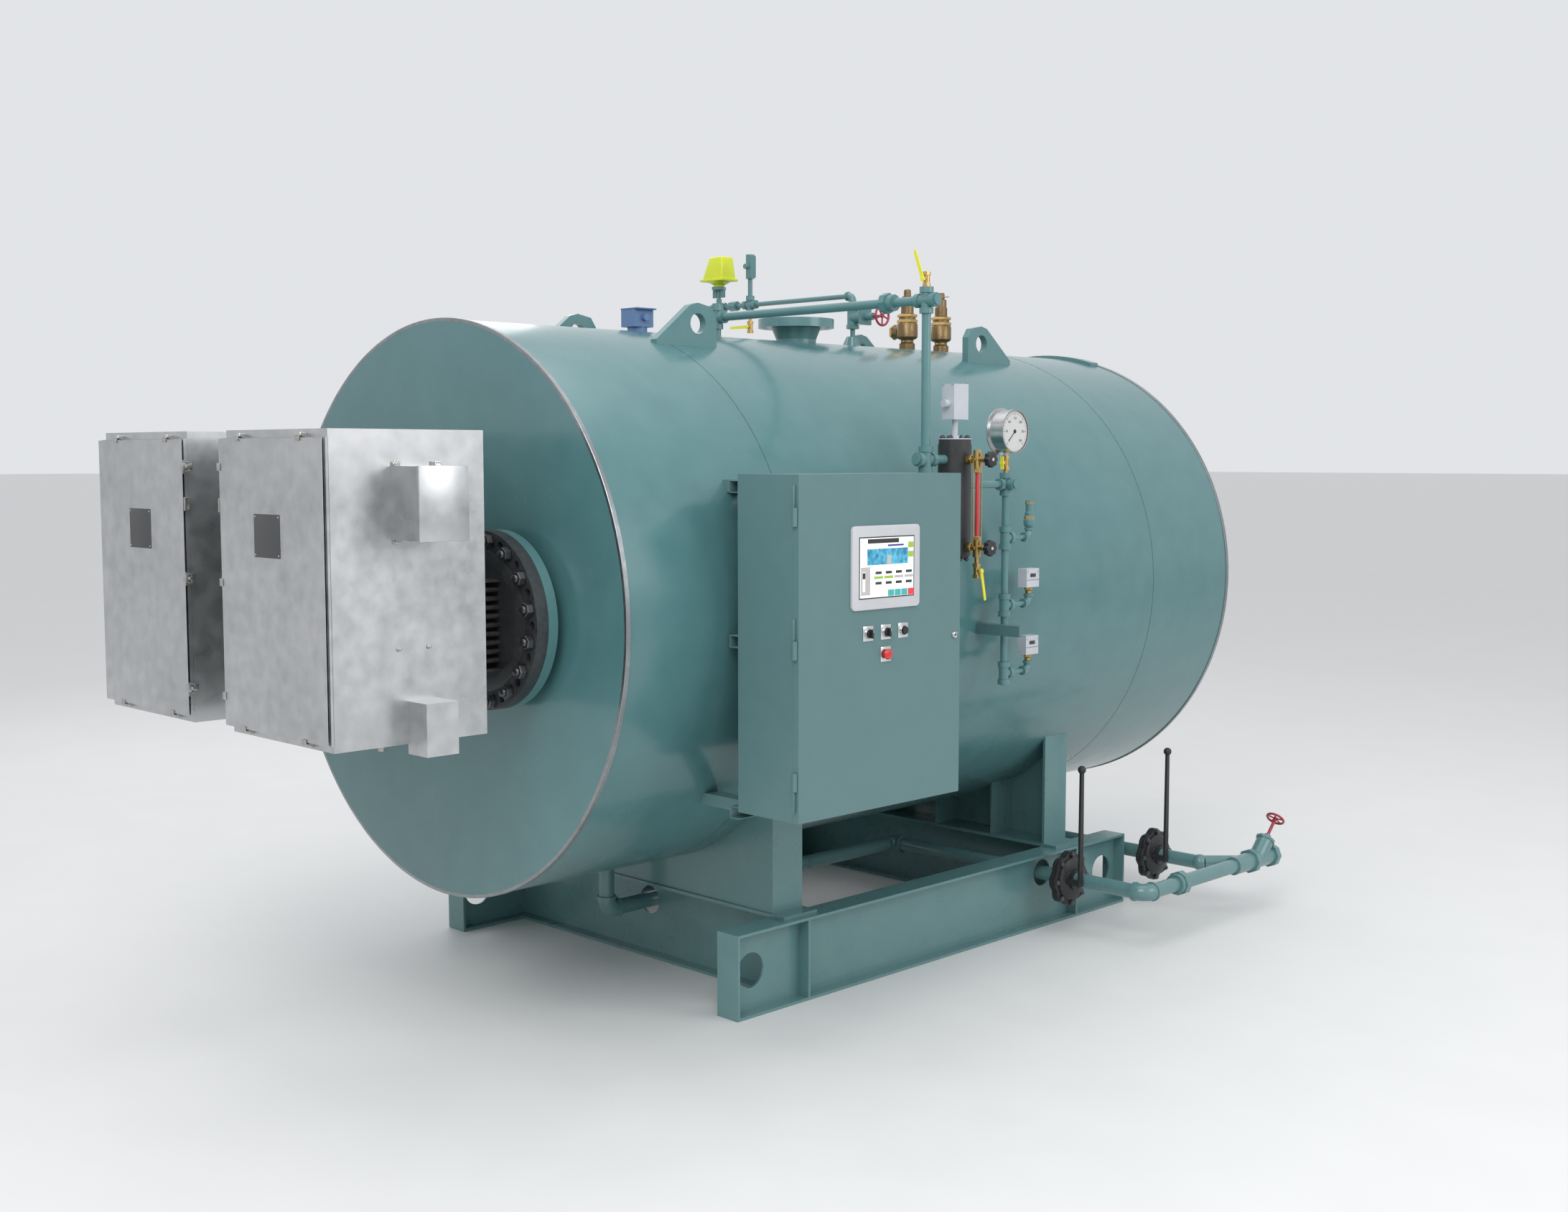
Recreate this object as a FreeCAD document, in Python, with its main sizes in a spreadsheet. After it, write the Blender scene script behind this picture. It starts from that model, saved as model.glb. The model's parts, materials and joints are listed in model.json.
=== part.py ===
import FreeCAD, Part
import os
import Sketcher

# Electric resistance boiler on a steel skid: a horizontal insulated vessel that lies along Y,
# with its element flanges and terminal boxes at the front (-Y) and its control panel on the
# right (+X). Millimetres, +Z up, the floor at Z = 0. The origin is on the floor, midway between
# the side beams, under the web of the front cross beam.

SIZES = {
    # vessel and its insulated jacket
    "jacket_radius": 1016, "jacket_wall": 100, "axis_height": 1428, "vessel_front": -966,
    "vessel_length": 3561, "first_course": 758, "last_course": 608, "head_thick": 35,
    "trim_inset": 8, "trim_proud": 4, "rear_trim_band": 18,
    "crown_plate_thick": 14, "crown_plate_width": 60, "crown_plate_half": 300,
    # skid of rolled beams
    "skid_height": 305, "flange_width": 106, "flange_thick": 10, "web_thick": 8,
    "skid_half_width": 880, "skid_overhang": 358, "skid_length": 2360, "cross_spacing": 1648,
    "end_plate": 10, "end_hole_radius": 64, "end_hole_inset": 107, "pipe_hole_radius": 56,
    # saddles
    "saddle_half": 782, "saddle_depth": 153, "saddle_plate": 12, "saddle_foot_half": 850,
    "saddle_foot_depth": 170, "saddle_front_y": -15, "saddle_rear_y": 1619,
    "gusset_inner": 180, "gusset_outer": 495, "gusset_thick": 10,
    # lifting lugs
    "lug_x": 355, "lug_thick": 32, "lug_hole_radius": 38, "lug_eye_radius": 76,
    "lug_hole_height": 1029, "lug_front_y": -70, "lug_rear_y": 1599, "lug_back": 92,
    "lug_tail": 203,
    # steam outlet, 6 inch class 300
    "steam_y": 822, "steam_bore": 77, "steam_neck_low": 84, "steam_neck_high": 103,
    "steam_flange_radius": 159, "steam_flange_thick": 36.5, "steam_height": 1112,
    "steam_bolt_circle": 135, "steam_bolt_hole": 11, "steam_bolts": 12,
    # electric element assemblies, 16 inch class 150 flanges
    "element_x": 429, "nozzle_radius": 203, "nozzle_reach": 42, "flange_radius": 298.5,
    "nozzle_flange_thick": 37, "gasket_gap": 3, "blind_thick": 44, "element_bolt_circle": 270,
    "element_bolt_hole": 14.5, "element_bolts": 16,
    "rod_radius": 9, "rod_rows": 9, "rod_columns": 3, "rod_pitch_z": 29, "rod_pitch_x": 90,
    "rod_bank_drop": 8, "bracket_thick": 8, "bracket_half": 110,
    # terminal boxes
    "box_back": -1290, "box_depth": 538, "box_half": 298.5, "box_low": 1106,
    "box_high": 2048, "box_wall": 4, "box_lip": 22, "door_thick": 13, "door_gap": 0.4,
    "door_low": 1127, "door_high": 2024, "hinge_radius": 6, "clamp_width": 26,
    "clamp_height": 44, "clamp_thick": 9,
    # small boxes on the terminal boxes
    "disconnect_y": -1538, "disconnect_depth": 146, "disconnect_length": 169,
    "disconnect_low": 1721, "disconnect_high": 1939, "outlet_box_y": -1521,
    "outlet_box_length": 112, "outlet_box_low": 1076, "outlet_box_high": 1236,
    "outlet_box_depth": 101,
    # control panel
    "panel_face": 1349, "panel_front_y": -536, "panel_width": 802, "panel_low": 797,
    "panel_high": 1911, "panel_depth": 278, "panel_wall": 4, "panel_lip": 24,
    "panel_door_thick": 26, "panel_hinge_radius": 9, "panel_hinge_length": 60,
    "screen_width": 336, "screen_height": 277, "screen_thick": 9,
    "screen_y": -127, "screen_z": 1603,
    "switch_y": -126, "switch_pitch": 87, "switch_z": 1386, "switch_plate": 52,
    "switch_plate_thick": 2, "switch_radius": 15, "switch_reach": 24,
    "stop_z": 1312, "stop_radius": 20, "stop_stem_radius": 11, "stop_bore_radius": 11.5,
    "stop_reach": 22, "stop_travel": 6,
    "strut": 41, "strut_wall": 3, "strut_x": 1030, "strut_top_z": 1870, "strut_low_z": 792,
    "strut_mid_z": 1362, "pipe_strut_z": 1311, "pipe_strut_end": 1215, "strut_inset": 0.7,
    "stand_off": 60,
    # equalizing line and its fittings, 1 inch pipe
    "line_radius": 16.7, "fit_wall": 5, "collar_wall": 9, "collar_length": 20,
    "column_x": 1100, "line_y": 369, "line_z": 2524, "line_tee_z": 1957,
    "union_x": 898, "union_radius": 38, "union_length": 52,
    # water column
    "column_y": 534, "column_radius": 61.5, "column_low": 1596, "column_high": 2030,
    "column_flange_radius": 59, "column_flange_thick": 9,
    "lower_leg_z": 1640, "probe_stem_radius": 11, "probe_stem": 72, "probe_box_x": 58,
    "probe_box_y": 82, "probe_box_z": 129, "probe_hub_radius": 14, "probe_hub_reach": 26,
    # gauge glass
    "glass_x": 1207, "glass_radius": 7.5, "glass_low": 1668, "glass_high": 1919,
    "upper_cock_z": 1957, "lower_cock_z": 1637, "cock_radius": 15, "cock_half": 34,
    "guard_radius": 2.5, "guard_spread": 24, "knob_radius": 24, "knob_thick": 24,
    "knob_reach": 60, "spindle_radius": 6, "spindle_gap": 0.3,
    # ball valves
    "valve_radius": 13.5, "valve_length": 54, "lever_width": 14, "lever_thick": 4,
    "lever_length": 110, "tee_handle_half": 25, "lever_hub": 9, "lever_stand_off": 17,
    "lever_gap": 0.4, "column_drain_z": 1580,
    # pressure control manifold, 3/4 inch pipe
    "manifold_radius": 13.4, "manifold_y": 838, "manifold_cross_z": 1863,
    "manifold_tee_z": 1659, "switch_tee_z": 1403, "switch_tee_low_z": 1142,
    "manifold_low": 1096, "manifold_reach": 150, "manifold_bend": 26,
    "gauge_radius": 83, "gauge_depth": 72, "gauge_back": 26, "gauge_z": 2062,
    "gauge_rim_radius": 89, "gauge_rim_thick": 4, "gauge_cock_z": 1944,
    "relief_radius": 17, "relief_base": 1697, "relief_height": 102,
    "limit_x": 43, "limit_y": 78, "limit_z": 72, "limit_rise": 62,
    # feed line, 1/2 inch pipe
    "feed_radius": 10.7, "feed_y": 1172, "feed_z": 2661, "feed_tee_x": -640,
    "feed_valve_x": -850, "feed_inlet_radius": 7.7, "feed_inlet_depth": 26, "feed_bend": 24,
    "conduit_low": 2779, "conduit_high": 2888, "conduit_radius": 20, "feed_drain_z": 2560,
    "yoke_z": 2700, "actuator_z": 2756, "actuator_x": 152, "actuator_y": 104,
    "actuator_high": 2892, "actuator_slope": 62,
    # gate valve under the feed elbow
    "gate_z": 2567, "gate_half": 48, "gate_body": 24, "bonnet_radius": 26,
    "bonnet_reach": 120, "gate_wheel_radius": 46, "gate_wheel_x": 171,
    # safety valves and level switch housing on the crown
    "safety_y": 1532, "safety_spacing": 235, "safety_radius": 47, "safety_height": 1284,
    "safety_reach": 81, "safety_bore": 24, "safety_bore_depth": 32,
    "level_y": -49, "level_x_size": 80, "level_y_size": 94, "level_low": 2463,
    "level_high": 2534, "pedestal_radius": 38,
    # blowdown piping, 2 inch pipe
    "drain_radius": 30, "drain_z": 214, "drain_x": 0, "drain_riser_y": -225,
    "drain_cross_y": 1462, "rear_drain_y": 2097, "rear_drain_x": 0, "drain_bend": 44,
    "blow_x": 983, "blow_body_radius": 92, "blow_rim_radius": 114, "blow_rim_thick": 20,
    "blow_body_thick": 62, "blow_shaft_offset": 52, "blow_shaft_radius": 13,
    "blow_shaft_reach": 46, "blow_lever_length": 475, "blow_lever_width": 26,
    "blow_lever_thick": 10, "blow_ball_radius": 17,
    "header_x": 1345, "header_union_y": 1700, "header_union_radius": 50,
    "header_wye_y": 2242, "header_valve_y": 2263, "header_end_y": 2454,
    "wye_turn_x": 1205, "y_neck_y": 2330, "y_neck_length": 96, "y_stem_radius": 7,
    "y_stem_length": 123, "y_wheel_radius": 42, "outlet_wall": 4, "outlet_depth": 40,
    # hand wheels
    "wheel_rim": 5, "wheel_hub": 9, "wheel_spokes": 5,
}

doc = FreeCAD.newDocument("boiler")
sheet = doc.addObject("Spreadsheet::Sheet", "Dims")
PIECES = []


class Size:
    """A length as a formula on the sheet, with the value that it has as written."""

    def __init__(self, text, value):
        self.text = text
        self.value = float(value)

    def __add__(self, other):
        other = as_size(other)
        return Size(f"({self.text} + {other.text})", self.value + other.value)

    def __sub__(self, other):
        other = as_size(other)
        return Size(f"({self.text} - {other.text})", self.value - other.value)

    def __mul__(self, other):
        other = as_size(other)
        return Size(f"({self.text} * {other.text})", self.value * other.value)

    def __truediv__(self, other):
        other = as_size(other)
        return Size(f"({self.text} / {other.text})", self.value / other.value)

    def __radd__(self, other):
        return as_size(other) + self

    def __rsub__(self, other):
        return as_size(other) - self

    def __rmul__(self, other):
        return as_size(other) * self

    def __neg__(self):
        return as_size(0) - self


def as_size(number):
    return number if isinstance(number, Size) else Size(repr(float(number)), number)


def root_of(size):
    return Size(f"sqrt({size.text})", size.value ** 0.5)


class Table:
    """The sheet's cells, read by name."""


d = Table()
for row, (word, number) in enumerate(SIZES.items(), start=1):
    sheet.set(f"A{row}", word)
    sheet.set(f"B{row}", str(number))
    sheet.setAlias(f"B{row}", word)
    setattr(d, word, Size(f"Dims.{word}", number))
doc.recompute()

X, Y, Z = (FreeCAD.Vector(1, 0, 0), FreeCAD.Vector(0, 1, 0), FreeCAD.Vector(0, 0, 1))
WAY = {"+x": X, "-x": -X, "+y": Y, "-y": -Y, "+z": Z, "-z": -Z}
TURN = {way: FreeCAD.Rotation(Z, vector) for way, vector in WAY.items()}


# ---------------------------------------------------------------- building blocks

def bind(thing, **sizes):
    for name, size in sizes.items():
        thing.setExpression(name, as_size(size).text)
    return thing


def place(thing, at, rotation=None):
    at = [as_size(number) for number in at]
    spot = FreeCAD.Vector(*[number.value for number in at])
    thing.Placement = FreeCAD.Placement(spot, rotation or FreeCAD.Rotation())
    for name, number in zip("xyz", at):
        thing.setExpression(f"Placement.Base.{name}", number.text)
    return thing


def shift(at, way, distance):
    vector = WAY[way]
    parts = (vector.x, vector.y, vector.z)
    return [as_size(number) + part * as_size(distance) if part else number
            for number, part in zip(at, parts)]


def box(low, size):
    """A box from its low corner."""
    block = doc.addObject("Part::Box", "Block")
    return place(bind(block, Length=size[0], Width=size[1], Height=size[2]), low)


def slab(middle, size):
    """A box from its centre."""
    return box([as_size(m) - as_size(s) / 2 for m, s in zip(middle, size)], size)


def rod(at, way, radius, length, rotation=None):
    bar = bind(doc.addObject("Part::Cylinder", "Rod"), Radius=radius, Height=length)
    return place(bar, at, rotation or TURN[way])


def cone(at, way, low_radius, high_radius, length, rotation=None):
    taper = doc.addObject("Part::Cone", "Taper")
    bind(taper, Radius1=low_radius, Radius2=high_radius, Height=length)
    return place(taper, at, rotation or TURN[way])


def ball(at, radius):
    return place(bind(doc.addObject("Part::Sphere", "Ball"), Radius=radius), at)


def prism(at, way, sides, radius, length, rotation=None):
    nut = doc.addObject("Part::Prism", "Nut")
    nut.Polygon = sides
    return place(bind(nut, Circumradius=radius, Height=length), at, rotation or TURN[way])


def torus(at, rotation, big, small):
    ring = doc.addObject("Part::Torus", "Ring")
    ring.Angle3 = 360
    return place(bind(ring, Radius1=big, Radius2=small), at, rotation)


def fuse(*shapes):
    union = doc.addObject("Part::MultiFuse", "Union")
    union.Shapes = list(shapes)
    union.Refine = True
    return union


def cut(base, *tools):
    left = doc.addObject("Part::Cut", "Cut")
    left.Base = base
    left.Tool = tools[0] if len(tools) == 1 else fuse(*tools)
    return left


def common(base, tool):
    shared = doc.addObject("Part::Common", "Common")
    shared.Base, shared.Tool = base, tool
    return shared


def group(*shapes):
    together = doc.addObject("Part::Compound", "Group")
    together.Links = list(shapes)
    return together


def tube(at, way, outer, inner, length):
    return cut(rod(at, way, outer, length), rod(at, way, inner, length))


def piece(label, shape):
    shape.Label = label
    PIECES.append(shape)
    return shape


def quarter_bend(corner, came, goes, bend, radius):
    """The quarter torus that turns a pipe from one way into another about a corner."""
    start_way, end_way = WAY[came], WAY[goes]
    middle = shift(shift(corner, OPPOSITE[came], bend), goes, bend)
    quarter = doc.addObject("Part::Torus", "Bend")
    quarter.Angle3 = 90
    bind(quarter, Radius1=bend, Radius2=radius)
    side = start_way.cross(end_way)
    frame = FreeCAD.Rotation(-end_way, start_way, side, "ZXY")
    return place(quarter, middle, frame)


OPPOSITE = {"+x": "-x", "-x": "+x", "+y": "-y", "-y": "+y", "+z": "-z", "-z": "+z"}


def elbow(corner, came, goes, bend, radius):
    """A threaded elbow: a thick quarter bend with a collar at each mouth."""
    body = radius + d.fit_wall
    collar = radius + d.collar_wall
    mouth_in = shift(corner, OPPOSITE[came], bend)
    mouth_out = shift(corner, goes, bend)
    return [quarter_bend(corner, came, goes, bend, body),
            rod(mouth_in, OPPOSITE[came], collar, d.collar_length / 2),
            rod(mouth_out, goes, collar, d.collar_length / 2)]


def pipe(start, legs, radius, bend):
    """A pipe of straight legs with elbows where it turns; legs are (way, length)."""
    solids, at = [], start
    for index, (way, length) in enumerate(legs):
        first, last = index == 0, index == len(legs) - 1
        begin = at if first else shift(at, way, bend)
        run = as_size(length) - (0 if first else bend) - (0 if last else bend)
        solids.append(rod(begin, way, radius, run))
        at = shift(at, way, length)
        if not last:
            solids += elbow(at, way, legs[index + 1][0], bend, radius)
    return solids


def tee_reach(radius):
    """How far a tee's mouths lie from its middle."""
    return radius + 2 * d.fit_wall + d.collar_length


def tee(at, arms, radius):
    """A threaded tee or cross: arms lists each way with a mouth, the straight run first.

    Each branch is a little slimmer than the one before, as on a casting, so that no two
    barrels of one size cross.
    """
    reach = tee_reach(radius)
    solids = []
    for index, way in enumerate(arms):
        slim = 1 if index < 2 else 1 - 0.03 * index
        solids.append(rod(at, way, (radius + d.fit_wall) * slim, reach))
        solids.append(rod(shift(at, way, reach - d.collar_length), way,
                          radius + d.collar_wall, d.collar_length))
    return solids


def plug(at, way, radius):
    """A square-head plug closes an unused mouth."""
    return [rod(shift(at, way, tee_reach(radius)), way, radius + 2, 8)]


def plane_of(body, role):
    return next(item for item in body.Origin.OriginFeatures if item.Role == role)


def new_body(at, role, outline, holes=()):
    """A body with one closed sketch: corners joined by lines, and round holes (x, y, radius)."""
    body = doc.addObject("PartDesign::Body", "Body")
    sketch = body.newObject("Sketcher::SketchObject", "Outline")
    sketch.AttachmentSupport = (plane_of(body, role), [""])
    sketch.MapMode = "FlatFace"
    corners = [(as_size(across), as_size(up)) for across, up in outline]
    spots = [FreeCAD.Vector(across.value, up.value, 0) for across, up in corners]
    for begin, end in zip(spots, spots[1:] + spots[:1]):
        sketch.addGeometry(Part.LineSegment(begin, end), False)
    count = len(spots)
    for index in range(count):
        following = (index + 1) % count
        sketch.addConstraint(Sketcher.Constraint("Coincident", index, 2, following, 1))
    for index, (across, up) in enumerate(corners):
        fix_point(sketch, index, 1, across, up)
    for across, up, radius in holes:
        fix_circle(sketch, as_size(across), as_size(up), as_size(radius))
    place(body, at)
    return body, sketch


def fix_point(sketch, item, end, across, up):
    for kind, size in (("DistanceX", across), ("DistanceY", up)):
        if abs(size.value) < 1e-9:
            axis = -2 if kind == "DistanceX" else -1
            sketch.addConstraint(Sketcher.Constraint("PointOnObject", item, end, axis))
            continue
        number = sketch.addConstraint(Sketcher.Constraint(kind, -1, 1, item, end, size.value))
        sketch.setExpression(f"Constraints[{number}]", size.text)


def fix_circle(sketch, across, up, radius):
    circle = Part.Circle(FreeCAD.Vector(across.value, up.value, 0), Z, radius.value)
    item = sketch.addGeometry(circle, False)
    fix_point(sketch, item, 3, across, up)
    number = sketch.addConstraint(Sketcher.Constraint("Radius", item, radius.value))
    sketch.setExpression(f"Constraints[{number}]", radius.text)


def padded(at, role, outline, thickness, holes=()):
    """A plate of that outline, half its thickness each side of the sketch plane."""
    body, sketch = new_body(at, role, outline, holes)
    pad = body.newObject("PartDesign::Pad", "Plate")
    pad.Profile = sketch
    pad.Midplane = True
    bind(pad, Length=thickness)
    sketch.Visibility = False
    return body


def turned(at, outline, rotation=None):
    """A body of revolution about its own Z, from (radius, height) corners."""
    body, sketch = new_body(at, "XZ_Plane", outline)
    turn = body.newObject("PartDesign::Revolution", "Turned")
    turn.Profile = sketch
    turn.ReferenceAxis = (sketch, ["V_Axis"])
    turn.Angle = 360
    sketch.Visibility = False
    if rotation:
        place(body, at, rotation)
    return body


def jacket_core(radius=None):
    """A cylinder on the vessel's axis, longer than the vessel at both ends."""
    start = (0, d.vessel_front - d.jacket_radius, d.axis_height)
    return rod(start, "+y", radius or d.jacket_radius, d.vessel_length + 2 * d.jacket_radius)


# ---------------------------------------------------------------- skid and saddles

def side_beam(side):
    """One long I-beam with end plates, lifting holes near its ends and outer stiffeners."""
    middle = side * (d.skid_half_width - d.flange_width / 2)
    low_y = -d.skid_overhang
    outer = side * d.skid_half_width
    inside_height = d.skid_height - 2 * d.flange_thick
    half_gap = (d.flange_width - d.web_thick) / 2
    solids = [slab((middle, low_y + d.skid_length / 2, d.skid_height / 2),
                   (d.web_thick, d.skid_length, d.skid_height))]
    for height in (d.flange_thick / 2, d.skid_height - d.flange_thick / 2):
        solids.append(slab((middle, low_y + d.skid_length / 2, height),
                           (d.flange_width, d.skid_length, d.flange_thick)))
    for end_y in (low_y + d.end_plate / 2, low_y + d.skid_length - d.end_plate / 2):
        solids.append(slab((middle, end_y, d.skid_height / 2),
                           (d.flange_width, d.end_plate, d.skid_height)))
    for stiffener_y in (as_size(0), d.cross_spacing):
        solids.append(slab((outer - side * half_gap / 2, stiffener_y, d.skid_height / 2),
                           (half_gap, d.end_plate, inside_height)))
    web_face = middle - 2 * d.web_thick
    holes = [rod((web_face, end_y, d.skid_height / 2), "+x", d.end_hole_radius, 4 * d.web_thick)
             for end_y in (low_y + d.end_hole_inset,
                           low_y + d.skid_length - d.end_hole_inset)]
    if side > 0:
        holes.append(rod((web_face, d.drain_cross_y, d.drain_z), "+x",
                         d.pipe_hole_radius, 4 * d.web_thick))
    return cut(fuse(*solids), *holes)


def cross_beam(y, hole):
    """An I-beam between the side beams; its web runs on to theirs between their flanges."""
    web_reach = 2 * (d.skid_half_width - d.flange_width / 2) - d.web_thick
    flange_reach = 2 * (d.skid_half_width - d.flange_width)
    inside_height = d.skid_height - 2 * d.flange_thick
    solids = [slab((0, y, d.skid_height / 2), (web_reach, d.web_thick, inside_height))]
    for height in (d.flange_thick / 2, d.skid_height - d.flange_thick / 2):
        solids.append(slab((0, y, height), (flange_reach, d.flange_width, d.flange_thick)))
    beam = fuse(*solids)
    if hole:
        start = (d.drain_x, y - 2 * d.web_thick, d.drain_z)
        beam = cut(beam, rod(start, "+y", d.pipe_hole_radius, 4 * d.web_thick))
    return beam


def saddle(y, web_side):
    """A saddle: foot plate, web and end plates cut to the jacket, gussets behind the web."""
    low = d.skid_height + d.saddle_plate
    top = d.axis_height - root_of(d.jacket_radius * d.jacket_radius
                                  - d.saddle_half * d.saddle_half)
    tall = top - low + d.saddle_plate
    web_y = y + web_side * (d.saddle_depth - d.saddle_plate) / 2
    solids = [slab((0, y, d.skid_height + d.saddle_plate / 2),
                   (2 * d.saddle_foot_half, d.saddle_foot_depth, d.saddle_plate)),
              slab((0, web_y, low + tall / 2), (2 * d.saddle_half, d.saddle_plate, tall))]
    for side in (-1, 1):
        end_x = side * (d.saddle_half - d.saddle_plate / 2)
        solids.append(slab((end_x, y, low + tall / 2),
                           (d.saddle_plate, d.saddle_depth, tall)))
        for gusset_x in (d.gusset_inner, d.gusset_outer):
            solids.append(slab((side * gusset_x, y, low + tall / 2),
                               (d.gusset_thick, d.saddle_depth, tall)))
    return cut(fuse(*solids), jacket_core())


def build_skid():
    piece("side_beam_right", side_beam(1))
    piece("side_beam_left", side_beam(-1))
    piece("cross_beams", group(cross_beam(as_size(0), True),
                               cross_beam(d.cross_spacing, False)))
    piece("saddles", group(saddle(d.saddle_front_y, -1), saddle(d.saddle_rear_y, 1)))


# ---------------------------------------------------------------- vessel

def jacket_course(start_y, length):
    at = (0, start_y, d.axis_height)
    return tube(at, "+y", d.jacket_radius, d.jacket_radius - d.jacket_wall, length)


def trim_ring(start_y, band):
    at = (0, start_y, d.axis_height)
    return tube(at, "+y", d.jacket_radius + d.trim_proud, d.jacket_radius - d.trim_inset, band)


def lifting_lug(side, hole_y, back_way):
    """A lifting eye: round over the hole, square at its back and sloped to its tail."""
    back, tail = back_way * d.lug_back, -back_way * d.lug_tail
    foot = d.jacket_radius / 2 - d.lug_hole_height
    outline = [(tail, foot), (back, foot), (back, d.lug_eye_radius / 3),
               (back - back_way * d.lug_eye_radius / 3, d.lug_eye_radius * 5 / 6),
               (back - back_way * d.lug_back, d.lug_eye_radius),
               (back - back_way * (d.lug_back + d.lug_eye_radius / 2), d.lug_eye_radius * 7 / 8),
               (tail, -d.lug_eye_radius * 0.86)]
    at = (side * d.lug_x, hole_y, d.axis_height + d.lug_hole_height)
    plate = padded(at, "YZ_Plane", outline, d.lug_thick, [(0, 0, d.lug_hole_radius)])
    return cut(plate, jacket_core())


def crown_plate():
    """The raised band over the top of the rear end."""
    start = (0, d.vessel_front + d.vessel_length - d.rear_trim_band - d.crown_plate_width,
             d.axis_height)
    ring = tube(start, "+y", d.jacket_radius + d.crown_plate_thick, d.jacket_radius,
                d.crown_plate_width)
    window = box((-d.crown_plate_half, start[1], d.axis_height),
                 (2 * d.crown_plate_half, d.crown_plate_width, 2 * d.jacket_radius))
    return common(ring, window)


def bolt_holes(body, circle, radius, count):
    """A ring of through holes about the body's own Z."""
    sketch = body.newObject("Sketcher::SketchObject", "Hole")
    sketch.AttachmentSupport = (plane_of(body, "XY_Plane"), [""])
    sketch.MapMode = "FlatFace"
    fix_circle(sketch, circle, as_size(0), radius)
    doc.recompute()
    pocket = body.newObject("PartDesign::Pocket", "Drilled")
    pocket.Profile = sketch
    pocket.Type = "ThroughAll"
    pocket.Midplane = True
    pattern = body.newObject("PartDesign::PolarPattern", "Ring")
    pattern.Originals = [pocket]
    pattern.Axis = (plane_of(body, "Z_Axis"), [""])
    pattern.Angle = 360
    bind(pattern, Occurrences=count)
    body.Tip = pattern
    sketch.Visibility = False
    return body


def steam_outlet():
    """A weld-neck flange with its raised face up, bored through, on the crown."""
    face = d.steam_height
    foot = d.jacket_radius * 0.98
    under = face - d.steam_flange_thick
    outline = [(d.steam_bore, foot), (d.steam_neck_low, foot),
               (d.steam_neck_low, d.jacket_radius + d.saddle_plate),
               (d.steam_neck_high, under), (d.steam_flange_radius, under),
               (d.steam_flange_radius, face), (d.steam_bore, face)]
    neck = turned((0, d.steam_y, d.axis_height), outline)
    bolt_holes(neck, d.steam_bolt_circle, d.steam_bolt_hole, d.steam_bolts)
    return cut(neck, jacket_core())


def build_vessel():
    rear = d.vessel_front + d.vessel_length
    middle_start = d.vessel_front + d.first_course
    rear_start = rear - d.last_course
    piece("jacket_front", jacket_course(d.vessel_front + d.head_thick,
                                        d.first_course - d.head_thick))
    piece("jacket_middle", jacket_course(middle_start, rear_start - middle_start))
    piece("jacket_rear", jacket_course(rear_start, d.last_course - d.rear_trim_band))
    inner = d.jacket_radius - d.trim_inset
    piece("front_head", rod((0, d.vessel_front, d.axis_height), "+y", inner, d.head_thick))
    piece("rear_head", rod((0, rear - d.rear_trim_band, d.axis_height), "+y", inner,
                           d.rear_trim_band))
    piece("trim_rings", group(trim_ring(d.vessel_front, d.head_thick),
                              trim_ring(rear - d.rear_trim_band, d.rear_trim_band)))
    piece("lifting_lugs", group(*[lifting_lug(side, hole_y, way) for side in (-1, 1)
                                  for hole_y, way in ((d.lug_front_y, 1), (d.lug_rear_y, -1))]))
    piece("rear_crown_plate", crown_plate())
    piece("steam_outlet", steam_outlet())


# ---------------------------------------------------------------- element assemblies

def flange_back():
    return d.vessel_front - d.nozzle_reach


def element_nozzle(side):
    """The stub pipe and slip-on flange that stand out of the front head."""
    reach, far = d.nozzle_reach, d.nozzle_reach + d.nozzle_flange_thick
    outline = [(0, 0), (d.nozzle_radius, 0), (d.nozzle_radius, reach), (d.flange_radius, reach),
               (d.flange_radius, far), (0, far)]
    at = (side * d.element_x, d.vessel_front, d.axis_height)
    stub = turned(at, outline, TURN["-y"])
    return bolt_holes(stub, d.element_bolt_circle, d.element_bolt_hole, d.element_bolts)


def blind_front():
    return flange_back() - d.nozzle_flange_thick - d.gasket_gap - d.blind_thick


def element_flange(side):
    """The blind flange that carries the elements, with the gasket behind it."""
    far = d.gasket_gap + d.blind_thick
    outline = [(0, 0), (d.nozzle_radius, 0), (d.nozzle_radius, d.gasket_gap),
               (d.flange_radius, d.gasket_gap), (d.flange_radius, far), (0, far)]
    at = (side * d.element_x, flange_back() - d.nozzle_flange_thick, d.axis_height)
    blind = turned(at, outline, TURN["-y"])
    return bolt_holes(blind, d.element_bolt_circle, d.element_bolt_hole, d.element_bolts)


def element_bank(side):
    """The element sheaths between flange and box, their grid plate and the box brackets."""
    middle_x = side * d.element_x
    front, length = d.box_back, blind_front() - d.box_back
    middle_z = d.axis_height - d.rod_bank_drop
    rows, columns = int(d.rod_rows.value), int(d.rod_columns.value)
    solids = []
    for column in range(columns):
        for row in range(rows):
            x = middle_x + (column - (columns - 1) / 2) * d.rod_pitch_x
            z = middle_z + (row - (rows - 1) / 2) * d.rod_pitch_z
            solids.append(rod((x, front, z), "+y", d.rod_radius, length))
    tall = (rows + 1) * d.rod_pitch_z
    solids.append(slab((middle_x, front + length / 2, middle_z),
                       (2 * d.bracket_half, d.bracket_thick, tall)))
    for side_z in (-1, 1):
        solids.append(slab((middle_x, front + length / 2, middle_z + side_z * tall / 2),
                           (2 * d.bracket_half, length, d.bracket_thick)))
    return fuse(*solids)


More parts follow.
